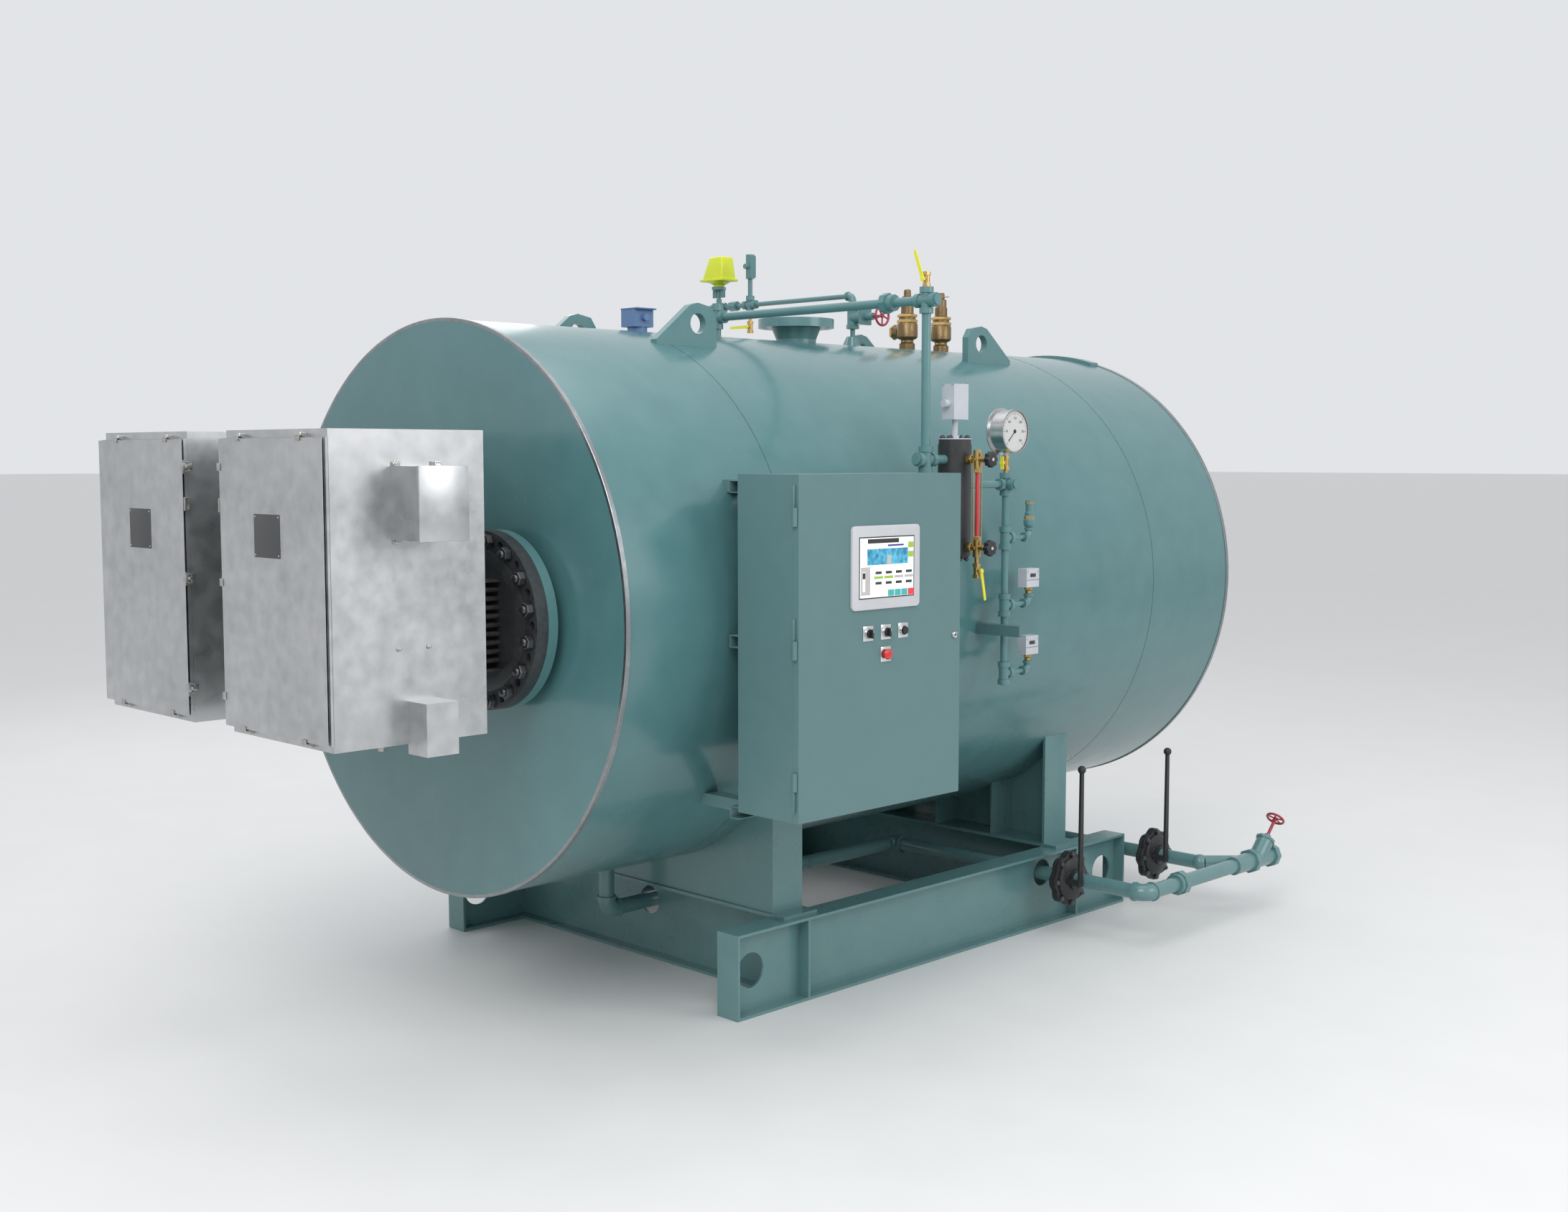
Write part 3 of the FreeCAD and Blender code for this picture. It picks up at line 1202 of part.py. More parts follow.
def blowdown_lever(y):
    """The long hand lever with its ball grip, on a shaft beside the outlet pipe."""
    foot_x = (d.blow_x + d.blow_body_thick / 2 + d.blow_shaft_reach + d.lever_gap
              + d.blow_lever_thick / 2)
    shaft_y = y - d.blow_shaft_offset
    half = d.blow_lever_width / 2
    reach = d.blow_lever_length
    outline = [(-half, -half), (half, -half), (half * 0.72, reach), (-half * 0.72, reach)]
    arm = padded((foot_x, shaft_y, d.drain_z), "YZ_Plane", outline, d.blow_lever_thick)
    return fuse(arm, ball((foot_x, shaft_y, d.drain_z + reach), d.blow_ball_radius))


def blowdown_header():
    """The outlet run: elbow, union, the branch from the rear valve and the valve's body."""
    radius = d.drain_radius
    face = d.blow_x + d.blow_body_thick / 2
    corner = (d.header_x, d.drain_cross_y, d.drain_z)
    front = (face, d.drain_cross_y, d.drain_z)
    solids = pipe(front, [("+x", d.header_x - face), ("+y", d.header_end_y - d.drain_cross_y)],
                  radius, d.drain_bend)
    union = (d.header_x, d.header_union_y, d.drain_z)
    solids += [prism(union, "+y", 8, d.header_union_radius, 34),
               rod(shift(union, "-y", 22), "+y", d.header_union_radius - 8, 22)]
    solids += [rod((face, d.rear_drain_y, d.drain_z), "+x", radius, d.wye_turn_x - face),
               ball((d.wye_turn_x, d.rear_drain_y, d.drain_z), radius + d.fit_wall)]
    aslant = FreeCAD.Rotation(Z, FreeCAD.Vector(1, 1, 0))
    branch = (d.header_x - d.wye_turn_x) * Size("sqrt(2)", 2 ** 0.5)
    solids.append(rod((d.wye_turn_x, d.rear_drain_y, d.drain_z), None, radius, branch, aslant))
    wye = (d.header_x, d.header_wye_y - 110, d.drain_z)
    solids.append(rod(wye, "+y", radius + d.collar_wall, 150))
    for y in (d.header_valve_y, d.header_end_y - 28):
        solids.append(prism((d.header_x, y, d.drain_z), "+y", 8, radius * 1.75, 28))
    solids.append(rod((d.header_x, d.header_valve_y, d.drain_z), "+y", radius * 1.3,
                      d.header_end_y - d.header_valve_y))
    lean = FreeCAD.Rotation(Z, FreeCAD.Vector(0, 1, 1))
    neck_at = (d.header_x, d.y_neck_y, d.drain_z)
    solids.append(rod(neck_at, None, radius * 1.25, d.y_neck_length, lean))
    step = d.y_neck_length * Size("sqrt(0.5)", 0.5 ** 0.5)
    neck_top = (d.header_x, d.y_neck_y + step, d.drain_z + step)
    solids.append(prism(neck_top, None, 8, radius * 1.45, 12, lean))
    solids.append(rod(neck_top, None, d.y_stem_radius * 2, 34, lean))
    bore = rod((d.header_x, d.header_end_y - d.outlet_depth, d.drain_z), "+y",
               d.drain_radius - d.outlet_wall, d.outlet_depth)
    return cut(fuse(*solids), bore), neck_top, lean


def y_wheel(neck_top, lean):
    """The hand wheel and its stem on the leaning valve neck."""
    slope = Size("sqrt(0.5)", 0.5 ** 0.5)
    clear = 34 + d.lever_gap
    foot = (neck_top[0], neck_top[1] + clear * slope, neck_top[2] + clear * slope)
    stem = rod(foot, None, d.y_stem_radius, d.y_stem_length - clear, lean)
    top = d.y_stem_length * slope
    at = (neck_top[0], neck_top[1] + top, neck_top[2] + top)
    return fuse(hand_wheel(at, lean, d.y_wheel_radius), stem)


def build_blowdown():
    piece("front_drain", front_drain())
    piece("rear_drain", rear_drain())
    piece("blowdown_valves", group(blowdown_valve(d.drain_cross_y),
                                   blowdown_valve(d.rear_drain_y)))
    piece("blowdown_lever_front", blowdown_lever(d.drain_cross_y))
    piece("blowdown_lever_rear", blowdown_lever(d.rear_drain_y))
    header, neck_top, lean = blowdown_header()
    piece("blowdown_header", header)
    piece("blowdown_wheel", y_wheel(neck_top, lean))


def write_pieces():
    doc.recompute()
    for thing in doc.Objects:
        bad = {"Invalid", "Error"} & set(thing.State)
        if bad:
            raise SystemExit(f"{thing.Label} ({thing.Name}) failed: {bad}")
    os.makedirs("parts", exist_ok=True)
    for shape in PIECES:
        if shape.Shape.isNull() or not shape.Shape.isValid():
            raise SystemExit(f"{shape.Label} has no valid shape")
        shape.Shape.exportStep(f"parts/{shape.Label}.step")
        print(f"{shape.Label}: {len(shape.Shape.Solids)} solids, {shape.Shape.Volume / 1e6:.2f} litres")


for build in (build_skid, build_vessel, build_elements, build_panel, build_column,
              build_manifold, build_feed, build_crown, build_ball_valves, build_blowdown):
    build()
write_pieces()
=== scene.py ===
import json
import logging
import math
from dataclasses import dataclass
from enum import Enum
from typing import Callable, Iterable, Sequence

import bpy
from mathutils import Euler, Matrix, Vector


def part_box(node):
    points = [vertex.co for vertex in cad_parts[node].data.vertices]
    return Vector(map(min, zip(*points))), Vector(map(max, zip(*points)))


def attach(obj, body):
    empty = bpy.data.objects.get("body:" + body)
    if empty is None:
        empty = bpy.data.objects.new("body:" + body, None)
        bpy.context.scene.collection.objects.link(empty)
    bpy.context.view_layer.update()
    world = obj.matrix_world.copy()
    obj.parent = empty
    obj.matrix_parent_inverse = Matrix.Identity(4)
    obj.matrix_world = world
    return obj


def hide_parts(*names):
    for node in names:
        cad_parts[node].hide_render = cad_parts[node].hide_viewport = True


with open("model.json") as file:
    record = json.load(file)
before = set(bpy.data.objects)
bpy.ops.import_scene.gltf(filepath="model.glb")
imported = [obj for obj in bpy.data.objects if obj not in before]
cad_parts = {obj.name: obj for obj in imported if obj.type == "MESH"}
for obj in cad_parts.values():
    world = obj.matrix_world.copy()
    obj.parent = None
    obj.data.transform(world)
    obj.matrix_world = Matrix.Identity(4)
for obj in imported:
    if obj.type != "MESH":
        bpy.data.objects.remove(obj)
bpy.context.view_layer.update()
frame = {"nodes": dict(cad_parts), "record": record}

log = logging.getLogger("boiler")
logging.basicConfig(level=logging.INFO, format="%(name)s %(message)s")

Place = tuple[float, float, float]
Span = tuple[float, float]
Profile = Sequence[Span]


class Way(Enum):
    """Which way a fitting's own +Z points, as the turn that brings it there."""

    UP = (0.0, 0.0, 0.0)
    DOWN = (math.pi, 0.0, 0.0)
    RIGHT = (0.0, math.pi / 2, 0.0)
    LEFT = (0.0, -math.pi / 2, 0.0)
    REAR = (-math.pi / 2, 0.0, 0.0)
    FRONT = (math.pi / 2, 0.0, 0.0)

    def vector(self) -> Vector:
        """The unit vector that this way points along."""
        return Euler(self.value).to_matrix() @ Vector((0, 0, 1))


# ---------------------------------------------------------------- the workbench


def clear_bench() -> None:
    """Deselects everything, so that an operator acts on the new piece alone."""
    if bpy.context.object and bpy.context.object.mode != "OBJECT":
        bpy.ops.object.mode_set(mode="OBJECT")
    bpy.ops.object.select_all(action="DESELECT")


def take(piece: bpy.types.Object) -> None:
    """Makes one piece the only one that is selected and active."""
    clear_bench()
    piece.select_set(True)
    bpy.context.view_layer.objects.active = piece


def settle(piece: bpy.types.Object, at: Place = (0, 0, 0), turn: Place = (0, 0, 0),
           ) -> bpy.types.Object:
    """Moves and turns a piece, and applies both to its mesh.

    Args:
        piece: The piece, whose mesh stands at the origin.
        at: Where its origin goes.
        turn: Its turn about X, Y and Z, in radians.

    Returns:
        The same piece, its object at the origin again.
    """
    take(piece)
    piece.location = at
    piece.rotation_euler = turn
    bpy.ops.object.transform_apply(location=True, rotation=True, scale=True)
    return piece


def edit(piece: bpy.types.Object, kind: str = "VERT") -> None:
    """Opens a piece in edit mode, choosing VERT, EDGE or FACE, with nothing selected."""
    take(piece)
    bpy.ops.object.mode_set(mode="EDIT")
    bpy.ops.mesh.select_mode(type=kind)
    bpy.ops.mesh.select_all(action="DESELECT")


def pick_faces(piece: bpy.types.Object, test: Callable[[Vector, Vector], bool]) -> int:
    """Selects the faces of a piece in edit mode by their middle and normal.

    Args:
        piece: The piece.
        test: Takes a face's middle and normal, and says whether to select it.

    Returns:
        How many faces are selected.
    """
    edit(piece, "FACE")
    bpy.ops.object.mode_set(mode="OBJECT")
    count = 0
    for face in piece.data.polygons:
        face.select = test(face.center, face.normal)
        count += face.select
    bpy.ops.object.mode_set(mode="EDIT")
    return count


def done(piece: bpy.types.Object, smooth: float = 35.0) -> bpy.types.Object:
    """Leaves edit mode and smooths the shading of edges under an angle in degrees."""
    take(piece)
    bpy.ops.object.shade_smooth_by_angle(angle=math.radians(smooth))
    return piece


def named(name: str) -> bpy.types.Object:
    """Names the newest primitive and its mesh."""
    piece = bpy.context.object
    piece.name = name
    piece.data.name = name
    return piece


def turned(name: str, profile: Profile, at: Place = (0, 0, 0), way: Way = Way.UP,
           sides: int = 32, smooth: float = 35.0, turn: Place | None = None,
           ) -> bpy.types.Object:
    """Turns a profile about its own Z, as on a lathe.

    Args:
        name: The piece's name.
        profile: Points of radius and height, from one end to the other.
        at: Where the profile's origin goes.
        way: Which way the profile's axis points.
        sides: How many steps make the round.
        smooth: The angle in degrees under which edges are shaded smooth.
        turn: A free turn in place of way.

    Returns:
        The piece.
    """
    clear_bench()
    first = profile[0]
    bpy.ops.mesh.primitive_plane_add(size=0.001, location=(first[0], 0, first[1]))
    piece = named(name)
    settle(piece, piece.location)
    bpy.ops.object.mode_set(mode="EDIT")
    bpy.ops.mesh.select_mode(type="VERT")
    bpy.ops.mesh.select_all(action="SELECT")
    bpy.ops.mesh.merge(type="CENTER")
    for here, there in zip(profile, profile[1:]):
        step = (there[0] - here[0], 0, there[1] - here[1])
        bpy.ops.mesh.extrude_region_move(TRANSFORM_OT_translate={"value": step})
    bpy.ops.mesh.select_all(action="SELECT")
    bpy.ops.mesh.spin(steps=sides, angle=2 * math.pi, center=(0, 0, 0), axis=(0, 0, 1))
    bpy.ops.mesh.select_all(action="SELECT")
    bpy.ops.mesh.remove_doubles(threshold=1e-5)
    bpy.ops.mesh.normals_make_consistent(inside=False)
    bpy.ops.object.mode_set(mode="OBJECT")
    settle(piece, at, turn or way.value)
    return done(piece, smooth)


def block(name: str, middle: Place, size: Place, bevel: float = 0.002,
          segments: int = 2) -> bpy.types.Object:
    """A block with rounded edges.

    Args:
        name: The piece's name.
        middle: The block's middle.
        size: Its size along X, Y and Z.
        bevel: How far its edges are rounded.
        segments: How many steps round them.

    Returns:
        The piece.
    """
    clear_bench()
    bpy.ops.mesh.primitive_cube_add(size=1, location=middle, scale=size)
    piece = named(name)
    bpy.ops.object.transform_apply(location=True, rotation=True, scale=True)
    if bevel:
        bpy.ops.object.mode_set(mode="EDIT")
        bpy.ops.mesh.select_all(action="SELECT")
        bpy.ops.mesh.bevel(offset=bevel, segments=segments, affect="EDGES")
        bpy.ops.object.mode_set(mode="OBJECT")
    return done(piece)


def many_sided(name: str, sides: int, radius: float, length: float, at: Place = (0, 0, 0),
               way: Way = Way.UP, chamfer: float = 0.0015, turn: Place | None = None,
               ) -> bpy.types.Object:
    """A nut-like prism whose two ends are chamfered.

    Args:
        name: The piece's name.
        sides: How many flats it has.
        radius: The radius over its corners.
        length: Its length along its axis.
        at: Where its low end goes.
        way: Which way its axis points.
        chamfer: How far the ends are chamfered.
        turn: A free turn in place of way.

    Returns:
        The piece.
    """
    clear_bench()
    bpy.ops.mesh.primitive_cylinder_add(vertices=sides, radius=radius, depth=length,
                                        location=(0, 0, length / 2))
    piece = named(name)
    bpy.ops.object.transform_apply(location=True, rotation=True, scale=True)
    for top in (True, False):
        pick_faces(piece, lambda middle, normal: (normal.z > 0.9) if top else (normal.z < -0.9))
        bpy.ops.mesh.bevel(offset=chamfer, segments=1, affect="EDGES")
    bpy.ops.object.mode_set(mode="OBJECT")
    settle(piece, at, turn or way.value)
    return done(piece, 25)


def copies(name: str, master: bpy.types.Object, places: Iterable[tuple[Place, Place]],
           ) -> bpy.types.Object:
    """Copies a small piece to many places and joins the copies.

    Args:
        name: The joined piece's name.
        master: The piece to copy, its mesh about the origin; it is removed at the end.
        places: Where each copy goes, and its turn.

    Returns:
        The joined piece.
    """
    made = []
    for at, turn in places:
        twin = master.copy()
        twin.data = master.data.copy()
        bpy.context.scene.collection.objects.link(twin)
        twin.data.transform(Matrix.LocRotScale(Vector(at), Euler(turn), None))
        made.append(twin)
    bpy.data.objects.remove(master)
    return joined(name, made)


def joined(name: str, pieces: Sequence[bpy.types.Object]) -> bpy.types.Object:
    """Joins pieces into one and names it."""
    clear_bench()
    for piece in pieces:
        piece.select_set(True)
    bpy.context.view_layer.objects.active = pieces[0]
    if len(pieces) > 1:
        bpy.ops.object.join()
    return named(name)


# ---------------------------------------------------------------- shader node groups


class Tree:
    """A small hand on a node tree: adds nodes and links them by socket name."""

    def __init__(self, tree: bpy.types.NodeTree) -> None:
        """Takes the tree to work on."""
        self.tree = tree

    def add(self, kind: str, **settings: object) -> bpy.types.Node:
        """Adds a node of a kind and sets its properties and its inputs' values.

        Args:
            kind: The node's type name, without its ShaderNode prefix where it has one.
            settings: A property by name, or an input by its name with _ for spaces.

        Returns:
            The node.
        """
        whole = kind if kind.startswith("Node") else "ShaderNode" + kind
        node = self.tree.nodes.new(whole)
        for word, value in settings.items():
            if hasattr(node, word):
                setattr(node, word, value)
            else:
                node.inputs[word.replace("_", " ")].default_value = value
        return node

    def link(self, source: bpy.types.NodeSocket, target: bpy.types.NodeSocket) -> None:
        """Links an output to an input."""
        self.tree.links.new(source, target)

    def scaled(self, value: bpy.types.NodeSocket, low: float, high: float,
               ) -> bpy.types.NodeSocket:
        """Maps a 0 to 1 value to low to high."""
        node = self.add("MapRange")
        node.inputs["To Min"].default_value = low
        node.inputs["To Max"].default_value = high
        self.link(value, node.inputs["Value"])
        return node.outputs["Result"]

    def blended(self, mask: bpy.types.NodeSocket, low: object, high: object,
                ) -> bpy.types.NodeSocket:
        """Mixes two colours, each a colour or a socket, by a mask."""
        node = self.add("Mix", data_type="RGBA")
        self.link(mask, node.inputs[0])
        for slot, value in ((6, low), (7, high)):
            if isinstance(value, bpy.types.NodeSocket):
                self.link(value, node.inputs[slot])
            else:
                node.inputs[slot].default_value = (*value, 1.0)
        return node.outputs[2]

    def product(self, first: bpy.types.NodeSocket, second: object, kind: str = "MULTIPLY",
                ) -> bpy.types.NodeSocket:
        """A math node of two values, the second a socket or a number."""
        node = self.add("Math", operation=kind)
        self.link(first, node.inputs[0])
        if isinstance(second, bpy.types.NodeSocket):
            self.link(second, node.inputs[1])
        else:
            node.inputs[1].default_value = second
        return node.outputs[0]


def new_group(name: str, inputs: Sequence[tuple[str, str, float | None]],
              outputs: Sequence[tuple[str, str]]) -> tuple[Tree, bpy.types.Node, bpy.types.Node]:
    """Starts a shader node group.

    Args:
        name: The group's name.
        inputs: Name, kind and default of each input.
        outputs: Name and kind of each output.

    Returns:
        Its tree, its input node and its output node.
    """
    group = bpy.data.node_groups.new(name, "ShaderNodeTree")
    for word, kind, value in inputs:
        socket = group.interface.new_socket(word, in_out="INPUT", socket_type="NodeSocket" + kind)
        if value is not None:
            socket.default_value = value
    for word, kind in outputs:
        group.interface.new_socket(word, in_out="OUTPUT", socket_type="NodeSocket" + kind)
    tree = Tree(group)
    return tree, tree.add("NodeGroupInput"), tree.add("NodeGroupOutput")


def mottle_group() -> bpy.types.NodeTree:
    """Soft uneven patches: a mask from two sizes of noise."""
    tree, source, sink = new_group("Mottle", (("Vector", "Vector", None), ("Scale", "Float", 3.0),
                                              ("Contrast", "Float", 1.0)), (("Mask", "Float"),))
    broad = tree.add("TexNoise", Detail=4.0, Roughness=0.6)
    tree.link(source.outputs["Vector"], broad.inputs["Vector"])
    tree.link(source.outputs["Scale"], broad.inputs["Scale"])
    fine = tree.add("TexNoise", Detail=3.0)
    tree.link(source.outputs["Vector"], fine.inputs["Vector"])
    tree.link(tree.product(source.outputs["Scale"], 7.3), fine.inputs["Scale"])
    both = tree.product(broad.outputs[0], fine.outputs[0], "ADD")
    centred = tree.product(tree.product(both, 1.0, "SUBTRACT"), source.outputs["Contrast"])
    tree.link(tree.product(centred, 0.5, "ADD"), sink.inputs["Mask"])
    sink.inputs["Mask"].links[0].from_node.use_clamp = True
    return tree.tree


def skin_group() -> bpy.types.NodeTree:
    """The small relief of a painted or cast surface, as a height."""
    tree, source, sink = new_group("Skin", (("Vector", "Vector", None), ("Scale", "Float", 90.0)),
                                   (("Height", "Float"),))
    noise = tree.add("TexNoise", Detail=5.0, Roughness=0.55)
    tree.link(source.outputs["Vector"], noise.inputs["Vector"])
    tree.link(source.outputs["Scale"], noise.inputs["Scale"])
    tree.link(noise.outputs[0], sink.inputs["Height"])
    return tree.tree


def grime_group() -> bpy.types.NodeTree:
    """A painted reflection of the floor: a mask strongest at the floor and fading upwards, broken
    up by noise.
    """
    tree, source, sink = new_group("FloorReflection", (("Vector", "Vector", None), ("Reach", "Float", 0.5)),
                                   (("Mask", "Float"),))
    parts = tree.add("SeparateXYZ")
    tree.link(source.outputs["Vector"], parts.inputs[0])
    height = tree.product(parts.outputs["Z"], source.outputs["Reach"], "DIVIDE")
    fade = tree.add("MapRange", From_Min=0.0, From_Max=1.0, To_Min=1.0, To_Max=0.0)
    tree.link(height, fade.inputs["Value"])
    noise = tree.add("TexNoise", Scale=9.0, Detail=6.0, Roughness=0.7)
    tree.link(source.outputs["Vector"], noise.inputs["Vector"])
    tree.link(tree.product(fade.outputs[0], noise.outputs[0]), sink.inputs["Mask"])
    return tree.tree


GROUPS = {"mottle": mottle_group(), "skin": skin_group(), "floor_reflection_mask": grime_group()}


# ---------------------------------------------------------------- finishes

Colour = tuple[float, float, float]


# Painted reflection of the floor: this brownish colour is mixed in towards the floor, fading out by
# the reach below, in metres.
FLOOR_REFLECTION_COLOUR: Colour = (0.42, 0.40, 0.36)
FLOOR_REFLECTION_REACH = 0.9
COAT_ROUGHNESS = 0.12
BUMP_STRENGTH = 0.6


@dataclass(frozen=True)
class Finish:
    """A surface finish: a colour that wanders a little, with its gloss and relief.

    Fields: the record's material slot, two colours, roughness and how far it wanders,
    metallic, coat, relief height in metres and its scale, patch scale and contrast, how
    strongly the painted brownish reflection of the floor shows, transmission and emission.
    """

    name: str
    slot: str
    colour: Colour
    second: Colour
    rough: float = 0.4
    rough_spread: float = 0.1
    metallic: float = 0.0
    coat: float = 0.0
    relief: float = 0.0002
    relief_scale: float = 90.0
    patch: float = 2.5
    contrast: float = 1.4
    dust: float = 0.0
    transmission: float = 0.0
    emission: float = 0.0

    def material(self) -> bpy.types.Material:
        """The material of this finish, made once."""
        found = bpy.data.materials.get("finish_" + self.name)
        return found or self.make()

    def make(self) -> bpy.types.Material:
        """Builds the material's nodes.

        Returns:
            The material.
        """
        material = bpy.data.materials.new("finish_" + self.name)
        material.use_nodes = True
        tree = Tree(material.node_tree)
        shader = material.node_tree.nodes["Principled BSDF"]
        vector = tree.add("TexCoord").outputs["Object"]
        mask = self.group(tree, "mottle", vector, Scale=self.patch, Contrast=self.contrast)
        colour = tree.blended(mask, self.colour, self.second)
        # Painted floor reflection: the colour turns brownish towards the floor.
        if self.dust:
            floor_reflection_mask = tree.product(self.group(tree, "floor_reflection_mask", vector, Reach=FLOOR_REFLECTION_REACH), self.dust)
            colour = tree.blended(floor_reflection_mask, colour, FLOOR_REFLECTION_COLOUR)
        tree.link(colour, shader.inputs["Base Color"])
        rough = tree.scaled(mask, self.rough - self.rough_spread, self.rough + self.rough_spread)
        tree.link(rough, shader.inputs["Roughness"])
        shader.inputs["Metallic"].default_value = self.metallic
        shader.inputs["Coat Weight"].default_value = self.coat
        shader.inputs["Coat Roughness"].default_value = COAT_ROUGHNESS
        shader.inputs["Transmission Weight"].default_value = self.transmission
        if self.emission:
            tree.link(colour, shader.inputs["Emission Color"])
            shader.inputs["Emission Strength"].default_value = self.emission
        height = self.group(tree, "skin", vector, Scale=self.relief_scale)
        bump = tree.add("Bump", Strength=BUMP_STRENGTH, Distance=self.relief)
        tree.link(height, bump.inputs["Height"])
        tree.link(bump.outputs["Normal"], shader.inputs["Normal"])
        return material

    @staticmethod
    def group(tree: Tree, word: str, vector: bpy.types.NodeSocket, **values: object,
              ) -> bpy.types.NodeSocket:
        """Places a shared node group, fed by a vector, and returns its first output."""
        node = tree.add("Group", node_tree=GROUPS[word])
        tree.link(vector, node.inputs["Vector"])
        for name, value in values.items():
            node.inputs[name].default_value = value
        return node.outputs[0]


TEAL = Finish("teal_paint", "teal_paint", (0.083, 0.198, 0.205), (0.102, 0.226, 0.232), 0.30,
              0.07, coat=0.35, relief=0.0002, relief_scale=60, patch=1.3, dust=0.12)
# A darker copy of the teal paint for the jacket and heads: painted shade over them.
SHADED_JACKET_TEAL = Finish("shaded_jacket_paint", "teal_paint", (0.068, 0.176, 0.184), (0.088, 0.206, 0.213), 0.24,
                0.05, coat=0.3, relief=0.00004, relief_scale=40, patch=1.1, dust=0.15)
SEAM = Finish("seam_shadow", "teal_paint", (0.030, 0.060, 0.062), (0.045, 0.080, 0.082), 0.6, 0.05)
PANEL = Finish("panel_paint", "panel_paint", (0.094, 0.184, 0.190), (0.103, 0.199, 0.204), 0.42,
               0.05, coat=0.1, relief=0.0001, relief_scale=420, patch=2.0)
STAINLESS = Finish("stainless", "stainless", (0.47, 0.48, 0.485), (0.60, 0.605, 0.61), 0.33, 0.07,
                   metallic=0.95, relief=0.0001, relief_scale=90, patch=2.6, contrast=1.7)
TRIM = Finish("bright_trim", "bright_trim", (0.34, 0.36, 0.37), (0.26, 0.28, 0.29), 0.34, 0.10,
              metallic=1.0, relief=0.0002, relief_scale=40, patch=6)
DARK_FLANGE = Finish("dark_flange", "dark_flange", (0.060, 0.068, 0.072), (0.10, 0.105, 0.11), 0.5,
                     0.12, metallic=0.6, relief=0.0005, relief_scale=160, patch=9)
SHEATH = Finish("element_sheath", "element_sheath", (0.10, 0.095, 0.09), (0.19, 0.18, 0.17), 0.4,
                0.12, metallic=0.9, patch=12)
BEZEL = Finish("grey_bezel", "grey_bezel", (0.50, 0.51, 0.53), (0.56, 0.57, 0.59), 0.45, 0.05,
               relief=0.0001, relief_scale=600)
BLACK_PLASTIC = Finish("black_plastic", "black_plastic", (0.012, 0.012, 0.013),
                       (0.022, 0.022, 0.023), 0.38, 0.08, relief=0.0001, relief_scale=500)
RED_PLASTIC = Finish("red_plastic", "red_plastic", (0.55, 0.02, 0.02), (0.62, 0.03, 0.03), 0.28,
                     0.05, coat=0.3, relief=0.00005)
BRASS = Finish("brass", "brass", (0.62, 0.43, 0.17), (0.46, 0.31, 0.12), 0.32, 0.12, metallic=1.0,
               relief=0.0002, relief_scale=260, patch=20)
BRONZE = Finish("bronze", "bronze", (0.27, 0.19, 0.10), (0.18, 0.12, 0.06), 0.42, 0.12,
                metallic=0.9, relief=0.0004, relief_scale=260, patch=24)
YELLOW = Finish("yellow_grip", "yellow_grip", (0.78, 0.74, 0.04), (0.70, 0.66, 0.03), 0.35, 0.06,
                coat=0.2, relief=0.0001)
YELLOW_COVER = Finish("yellow_cover", "yellow_cover", (0.66, 0.72, 0.02), (0.60, 0.66, 0.02),
                      0.34, 0.05, coat=0.3, relief=0.0001, relief_scale=300)
COLUMN_BLACK = Finish("column_black", "column_black", (0.020, 0.022, 0.024),
                      (0.035, 0.036, 0.038), 0.42, 0.1, relief=0.0005, relief_scale=120, patch=10)
GREY_HOUSING = Finish("grey_housing", "grey_housing", (0.46, 0.48, 0.52), (0.52, 0.54, 0.58),
                      0.42, 0.06, relief=0.0002, relief_scale=320)
RED_GLASS = Finish("gauge_glass", "gauge_glass", (0.55, 0.02, 0.03), (0.62, 0.05, 0.05), 0.12,
                   0.03, coat=0.6, relief=0.00002)
GAUGE_STEEL = Finish("gauge_steel", "gauge_steel", (0.62, 0.62, 0.62), (0.50, 0.50, 0.51), 0.24,
                     0.08, metallic=1.0, relief=0.00005, patch=16)
RED_WHEEL = Finish("red_wheel", "red_wheel", (0.36, 0.018, 0.045), (0.28, 0.015, 0.035), 0.38,
                   0.08, coat=0.2, relief=0.0003, relief_scale=200)
BLUE_HOUSING = Finish("blue_housing", "blue_housing", (0.100, 0.185, 0.36), (0.12, 0.21, 0.39),
                      0.40, 0.06, relief=0.0003, relief_scale=220)
BLACK_IRON = Finish("black_iron", "black_iron", (0.018, 0.018, 0.020), (0.035, 0.034, 0.034),
                    0.40, 0.12, metallic=0.2, relief=0.0006, relief_scale=170, patch=12)
ZINC = Finish("zinc", "gauge_steel", (0.55, 0.55, 0.54), (0.42, 0.41, 0.38), 0.36, 0.12,
              metallic=1.0, relief=0.0001, patch=30)
DIAL_WHITE = Finish("dial_white", "gauge_steel", (0.58, 0.58, 0.57), (0.54, 0.54, 0.53), 0.5, 0.04)
SCREEN_BLACK = Finish("screen_black", "black_plastic", (0.008, 0.009, 0.011),
                      (0.012, 0.013, 0.016), 0.12, 0.04, coat=0.6, relief=0.00001)

PLATE_GREY = Finish("plate_grey", "black_plastic", (0.050, 0.050, 0.052), (0.060, 0.060, 0.062),
                    0.5, 0.06)
DARK_STUD = Finish("dark_stud", "dark_flange", (0.16, 0.17, 0.175), (0.10, 0.10, 0.105), 0.38,
                   0.1, metallic=0.9, relief=0.0002, patch=40)
BRIGHT = Finish("bright_fitting", "gauge_steel", (0.72, 0.72, 0.72), (0.60, 0.60, 0.61), 0.25,
                0.08, metallic=1.0, relief=0.00005, patch=30)
PAGE = Finish("screen_page", "grey_bezel", (0.82, 0.84, 0.82), (0.80, 0.82, 0.80), 0.25, 0.02,
              relief=0.00001, emission=0.35)
SCREEN_DARK = Finish("screen_dark", "black_plastic", (0.03, 0.03, 0.035), (0.04, 0.04, 0.045),
                     0.25, 0.02, relief=0.00001)
